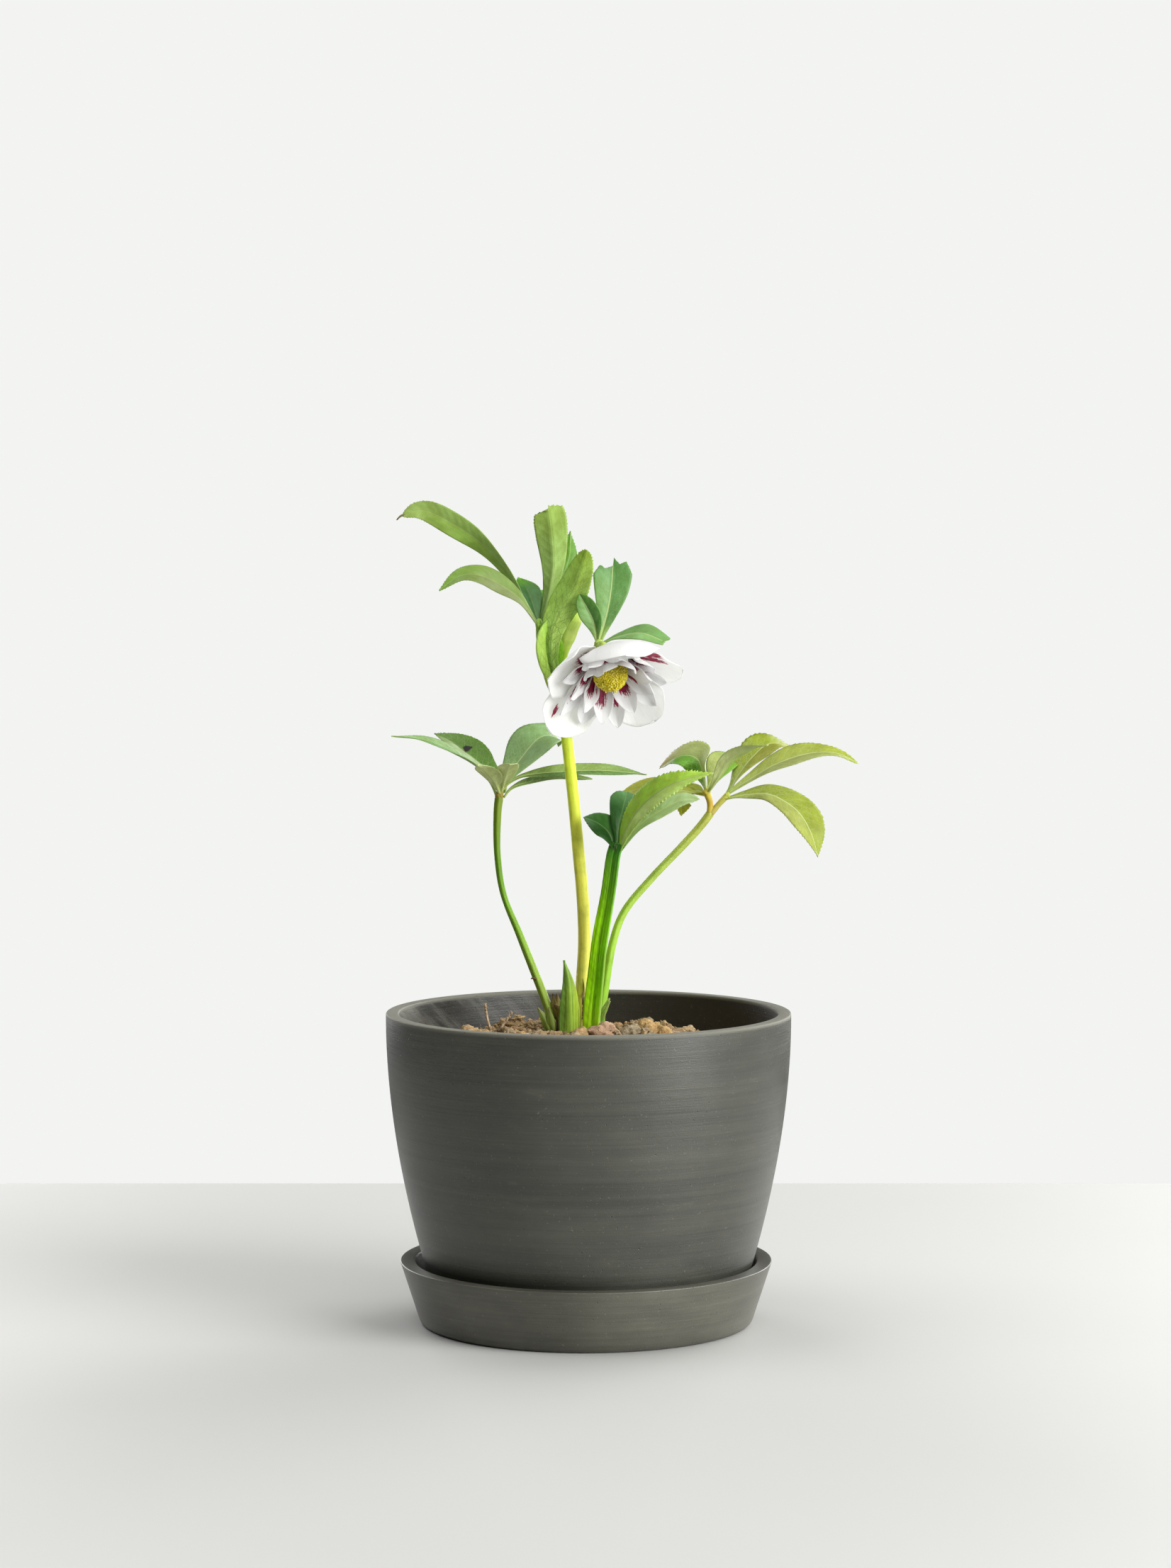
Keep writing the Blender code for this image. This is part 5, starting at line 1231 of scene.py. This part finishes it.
def make_middle_leaf():
    leaf = Skin()
    add_blade(leaf, MIDDLE_STRAP)
    add_blades(leaf, MIDDLE_BLADES, 20)
    leaf.add_lump((14.0, -10.0, 236.0), (2.0, 1.6, 2.4), (60, 110, 34), 3, 0.15)
    sides = [LEAF_TOP, LEAF_UNDER, RIBBED, BRACT_TOP, BRACT_UNDER, SHINY_LEAF_PAINTED_GLINTS]
    leaf.build("middle_leaf", sides, "leaf_deep", "leaf_middle")


def make_flower_stem():
    stem = Skin()
    stem.add_stalk(SCAPE, SCAPE_RADII, SCAPE_TINTS, 28, 7, 0.02, 0.8)
    stem.add_stalk(PEDICEL, [2.4, 2.2, 1.9, 1.9, 2.0, 2.6], [(190, 208, 80), (186, 208, 96)],
                   20, 5, 0.03, 0.7)
    stem.add_stalk(BRACT_STALK, [2.2, 1.9, 1.7, 1.6, 1.4], [(196, 212, 80), (156, 196, 76)],
                   18, 5, 0.04, 0.8)
    stem.add_stalk(THORN, [1.2, 0.5, 0.35, 0.12], [(170, 148, 84), (104, 76, 44)], 10, step=0.3)
    stem.add_lump((-14.0, 8.8, 313.0), (3.2, 3.1, 4.0), (196, 212, 76), 3, 0.1)
    stem.add_lump((5.0, -8.0, 335.5), (2.3, 2.2, 2.5), (190, 214, 110), 3, 0.1)
    stem.add_lump((-24.3, -0.3, 345.0), (1.8, 1.6, 3.0), (150, 192, 76), 3, 0.1)
    stem.build("stem", [STALK], "stem_green", "flower_stem")
    bud = Skin()
    bud.add_stalk(BUD_STALK, BUD_RADII, BUD_TINTS, 24, 6, 0.05, 0.6)
    bud.build("closed_bud", [STALK], "stem_green", "flower_stem")
    bract = Skin()
    add_blade(bract, BRACT_SHEATH)
    add_blades(bract, BRACT_BLADES, 30)
    bract.add_stalk(BRACT_TAIL, [0.7, 0.5, 0.3], [(150, 160, 90), (112, 92, 70)], 8, step=0.3)
    bract.build("bract", [BRACT_TOP, BRACT_UNDER, BRACT_NET], "stem_green", "flower_stem")
    collar = Skin()
    add_blades(collar, COLLAR_BLADES, 40)
    collar.build("collar", [COLLAR_SIDE, COLLAR_SIDE], "stem_green", "flower_stem")


# Bloom

def inner_petals():
    """Inner petals in two rows: near ones curl over the anthers, far ones have longer flares."""
    draw = random.Random(5)
    petals = []
    for k in range(INNER_PETALS):
        row = k % 2
        turn = 10 + 360 * k / INNER_PETALS + draw.uniform(-5, 5)
        nearness = math.cos(math.radians(turn))
        start, end = INNER_LEANS[row]
        length = INNER_LENGTHS[row] + FAR_REACH * max(-nearness, 0) + draw.uniform(-2.0, 1.0)
        width = INNER_WIDTH * draw.uniform(0.9, 1.12) * (1 + 0.25 * max(nearness, 0))
        start = start + draw.uniform(-3, 3)
        end = end - NEAR_CURL * max(nearness, 0) + draw.uniform(-5, 5)
        flares = [(0.5, 0.0, 0.26, 0.7)]
        if nearness < NEAR:
            tall = draw.uniform(0.2, 0.3) - 0.06 * nearness
            flares = [(0.4, draw.uniform(-0.2, 0.2), tall + 0.06, draw.uniform(0.5, 0.8))]
        petals.append(Petal(turn, length, width, (start, end), 26, draw.uniform(-8, 8), 0.58,
                            flares, INNER_TIP))
    return petals


def make_petals():
    """Outer petals, then inner ones; the near inner ones carry the crimson marks and dark root on
    both faces, partly as painted shade in the gaps between them.
    """
    outer = Skin()
    for k, petal in enumerate(TEPALS):
        add_petal(outer, petal, k * 1.3, 0.9, PETAL_WHITE)
    outer.build("outer_petals", PETAL_SIDES, "petal_white", "flower_petals")
    inner = Skin()
    for k, petal in enumerate(inner_petals()):
        near = math.cos(math.radians(petal.turn)) > NEAR
        # Near inner petals get the marked material on their outer faces too: crimson marks, and
        # painted shade in the dark gaps between them
        add_petal(inner, petal, k * 0.9 + 0.4, 0.7, PETAL_CREAM, (0, 0) if near else (1, 0))
    axis, _, _ = flower_frame()
    base = np.array(FLOWER_BASE)
    inner.add_stalk([base, base + axis * CORE_LENGTH], [CORE_RADIUS - 1.2, CORE_RADIUS],
                    [(150, 170, 80)], 24, step=0.3)
    inner.build("inner_petals", PETAL_SIDES, "petal_white", "flower_petals")


def make_anthers():
    """A dome of small paired anthers on a short neck, with a few styles hanging below."""
    skin = Skin()
    axis, near, across = flower_frame()
    base = np.array(FLOWER_BASE)
    centre = base + axis * ANTHER_CENTRE
    draw = random.Random(3)
    skin.add_lump(centre, ANTHER_RADIUS * 0.88, (196, 180, 52), 3, 0.06)
    skin.add_stalk([base + axis * (CORE_LENGTH + GAP), base + axis * 9.0], [3.0, 5.0],
                   [(150, 150, 50)], step=0.5)
    for k in range(ANTHERS):
        height = 1 - 1.62 * (k + 0.5) / ANTHERS
        ring = math.sqrt(1 - height * height)
        angle = k * math.pi * (3 - math.sqrt(5))
        way = axis * height + near * ring * math.cos(angle) + across * ring * math.sin(angle)
        spot = centre + way * (ANTHER_RADIUS * draw.uniform(0.89, 0.97))
        lean = unit(np.cross(way, [draw.uniform(-1, 1), draw.uniform(-1, 1), 0.4]))
        tint = draw.choice(ANTHER_TINTS)
        for half in (-0.24, 0.24):
            skin.add_lump(spot + lean * half, draw.uniform(0.34, 0.5), tint, 2, 0.2,
                          draw.uniform(0, 9))
    for _ in range(5):
        drift = near * draw.uniform(-3.5, -1.0) + across * draw.uniform(-3, 3)
        start = centre + axis * 7.6 + drift
        end = start + axis * draw.uniform(0.8, 1.6) - near * draw.uniform(0.5, 2.0)
        skin.add_stalk([start, (start + end) / 2 + across * 0.2, end], [0.5, 0.35, 0.3],
                       [(196, 190, 80), (214, 204, 110)], 8, step=0.4)
    skin.build("anthers", [ANTHER], "anther_yellow", "flower_stamens")


# Foot of the plant

def scales(paths, widths, up, fold, look, belly):
    """Narrow scale leaves clasping a shoot, one for each path."""
    return [Blade(path, width, up, (fold, fold), look, belly, stalk=0.5)
            for path, width in zip(paths, widths)]


def make_foot():
    crown = Skin()
    crown.add_lump((-13.0, 0.4, 143.0), (3.6, 4.6, 10.0), (110, 80, 52), 4, 0.14)
    add_blades(crown, scales(CROWN_SCALES, [4.6] * 3, [(-0.2, -1, 0.1)] * 2, -34, SCALE, 0.4), 60)
    add_blades(crown, scales(GREEN_SCALES, [4.8, 4.4], [(-0.2, -1, 0.2), (0, -1, 0.1)], -30,
                             GREEN_SCALE, 0.4), 70)
    crown.build("crown_scales", [DRYNESS, RIBBED], "crown_bark", "crown")
    sheath = Skin()
    add_blade(sheath, SHEATH)
    sheath.build("sheath_leaf", [RIBBED], "sheath_green", "basal_sheath")
    bud = Skin()
    bud.add_stalk(RIGHT_BUD, [1.5, 1.9, 1.7, 0.4],
                  [(130, 150, 60), (110, 150, 50), (150, 172, 84)], 16, 4, 0.08, 0.6)
    add_blades(bud, scales(BUD_SCALES, [4.2] * 2, [(0.2, -1, 0.2), (0.2, -1, 0.4)], -34,
                           BUD_SCALE, 0.45), 80)
    bud.build("young_bud", [STALK, RIBBED], "bud_green", "bud_right")
    draw = random.Random(17)
    for name, path, radii, tints, node in STICKS:
        stick = Skin()
        stick.add_stalk(path, radii, tints, 12, 4, 0.12, 0.4)
        line, _ = smooth_path(path, 40)
        for k in range(18, 40, 2):
            place = line[k] + [draw.uniform(-0.35, 0.35), draw.uniform(-0.35, 0.35), 0]
            size = np.array([1.0, 1.0, 1.7]) * radii[1] * draw.uniform(0.7, 1.1)
            stick.add_lump(place, size, tints[0], 2, 0.5, k)
        stick.build(name, [DRYNESS], "dry_straw", node)


# Stage

WALL_COLOUR = (243, 244, 242)
ROOM_COLOUR = (0.98, 0.99, 1.0)
ROOM_LIGHT = 0.03
LIGHT_TARGET = 0.2
LIGHT_DISTANCE = 2.6
# Degrees round from the right towards the back, degrees up, size in metres and power in watts
LIGHTS = [("window", -35, 20, 2.0, 101.0), ("right wall", 40, 20, 2.0, 45.0),
          ("far wall, right", 60, 14, 1.6, 24.0), ("far wall, left", 120, 12, 1.6, 33.0),
          ("left wall", 180, 60, 2.0, 20.0), ("ceiling", -90, 86, 2.4, 32.0),
          ("room", -90, 40, 2.4, 4.0)]


def add_light(name, turn, rise, size, power):
    """A round soft light on a sphere round the plant, aimed at its foot."""
    lamp = bpy.data.lights.new(name, "AREA")
    lamp.shape = "DISK"
    lamp.size = size
    lamp.energy = power
    item = bpy.data.objects.new(name, lamp)
    turn, rise = math.radians(turn), math.radians(rise)
    way = Vector((math.cos(turn) * math.cos(rise), math.sin(turn) * math.cos(rise), math.sin(rise)))
    item.location = Vector((0.0, 0.0, LIGHT_TARGET)) + way * LIGHT_DISTANCE
    item.rotation_euler = (-way).to_track_quat("-Z", "Y").to_euler()
    item.visible_camera = False
    bpy.context.scene.collection.objects.link(item)


def make_stage():
    """A pale table that ends in front of a white room, lit softly from the right and the back."""
    mesh = bpy.data.meshes.new("table")
    far, side = TABLE_EDGE_Y * MM, TABLE_REACH * MM
    corners = [(-side, -side, 0), (side, -side, 0), (side, far, 0), (-side, far, 0)]
    mesh.from_pydata(corners, [], [(0, 1, 2, 3)])
    table = bpy.data.objects.new("table", mesh)
    mesh.materials.append(table_material())
    bpy.context.scene.collection.objects.link(table)
    for light in LIGHTS:
        add_light(*light)
    world = bpy.data.worlds.new("room")
    bpy.context.scene.world = world
    world.use_nodes = True
    nodes, links = world.node_tree.nodes, world.node_tree.links
    nodes.clear()
    seen = nodes.new("ShaderNodeBackground")
    seen.inputs[0].default_value = (*srgb(WALL_COLOUR), 1.0)
    lit = nodes.new("ShaderNodeBackground")
    lit.inputs[0].default_value = (*ROOM_COLOUR, 1.0)
    lit.inputs[1].default_value = ROOM_LIGHT
    path = nodes.new("ShaderNodeLightPath")
    both = nodes.new("ShaderNodeMixShader")
    out = nodes.new("ShaderNodeOutputWorld")
    links.new(path.outputs["Is Camera Ray"], both.inputs[0])
    links.new(lit.outputs[0], both.inputs[1])
    links.new(seen.outputs[0], both.inputs[2])
    links.new(both.outputs[0], out.inputs[0])


def make_camera():
    """The photograph's camera: level with the leaves, looking slightly down."""
    lens = bpy.data.cameras.new("photo camera")
    lens.sensor_width = SENSOR
    lens.lens = SENSOR * FOCAL_PIXELS / PHOTO_HEIGHT
    camera = bpy.data.objects.new("photo camera", lens)
    camera.location = (CAMERA_X * MM, -CAMERA_DISTANCE * MM, CAMERA_HEIGHT * MM)
    camera.rotation_euler = (math.pi / 2 - CAMERA_PITCH, 0.0, 0.0)
    bpy.context.scene.collection.objects.link(camera)
    bpy.context.scene.camera = camera
    bpy.context.scene.view_settings.view_transform = "Standard"


make_camera()
make_stage()
make_pot()
make_saucer()
make_soil()
make_left_leaf()
make_right_leaf()
make_middle_leaf()
make_flower_stem()
make_petals()
make_anthers()
make_foot()
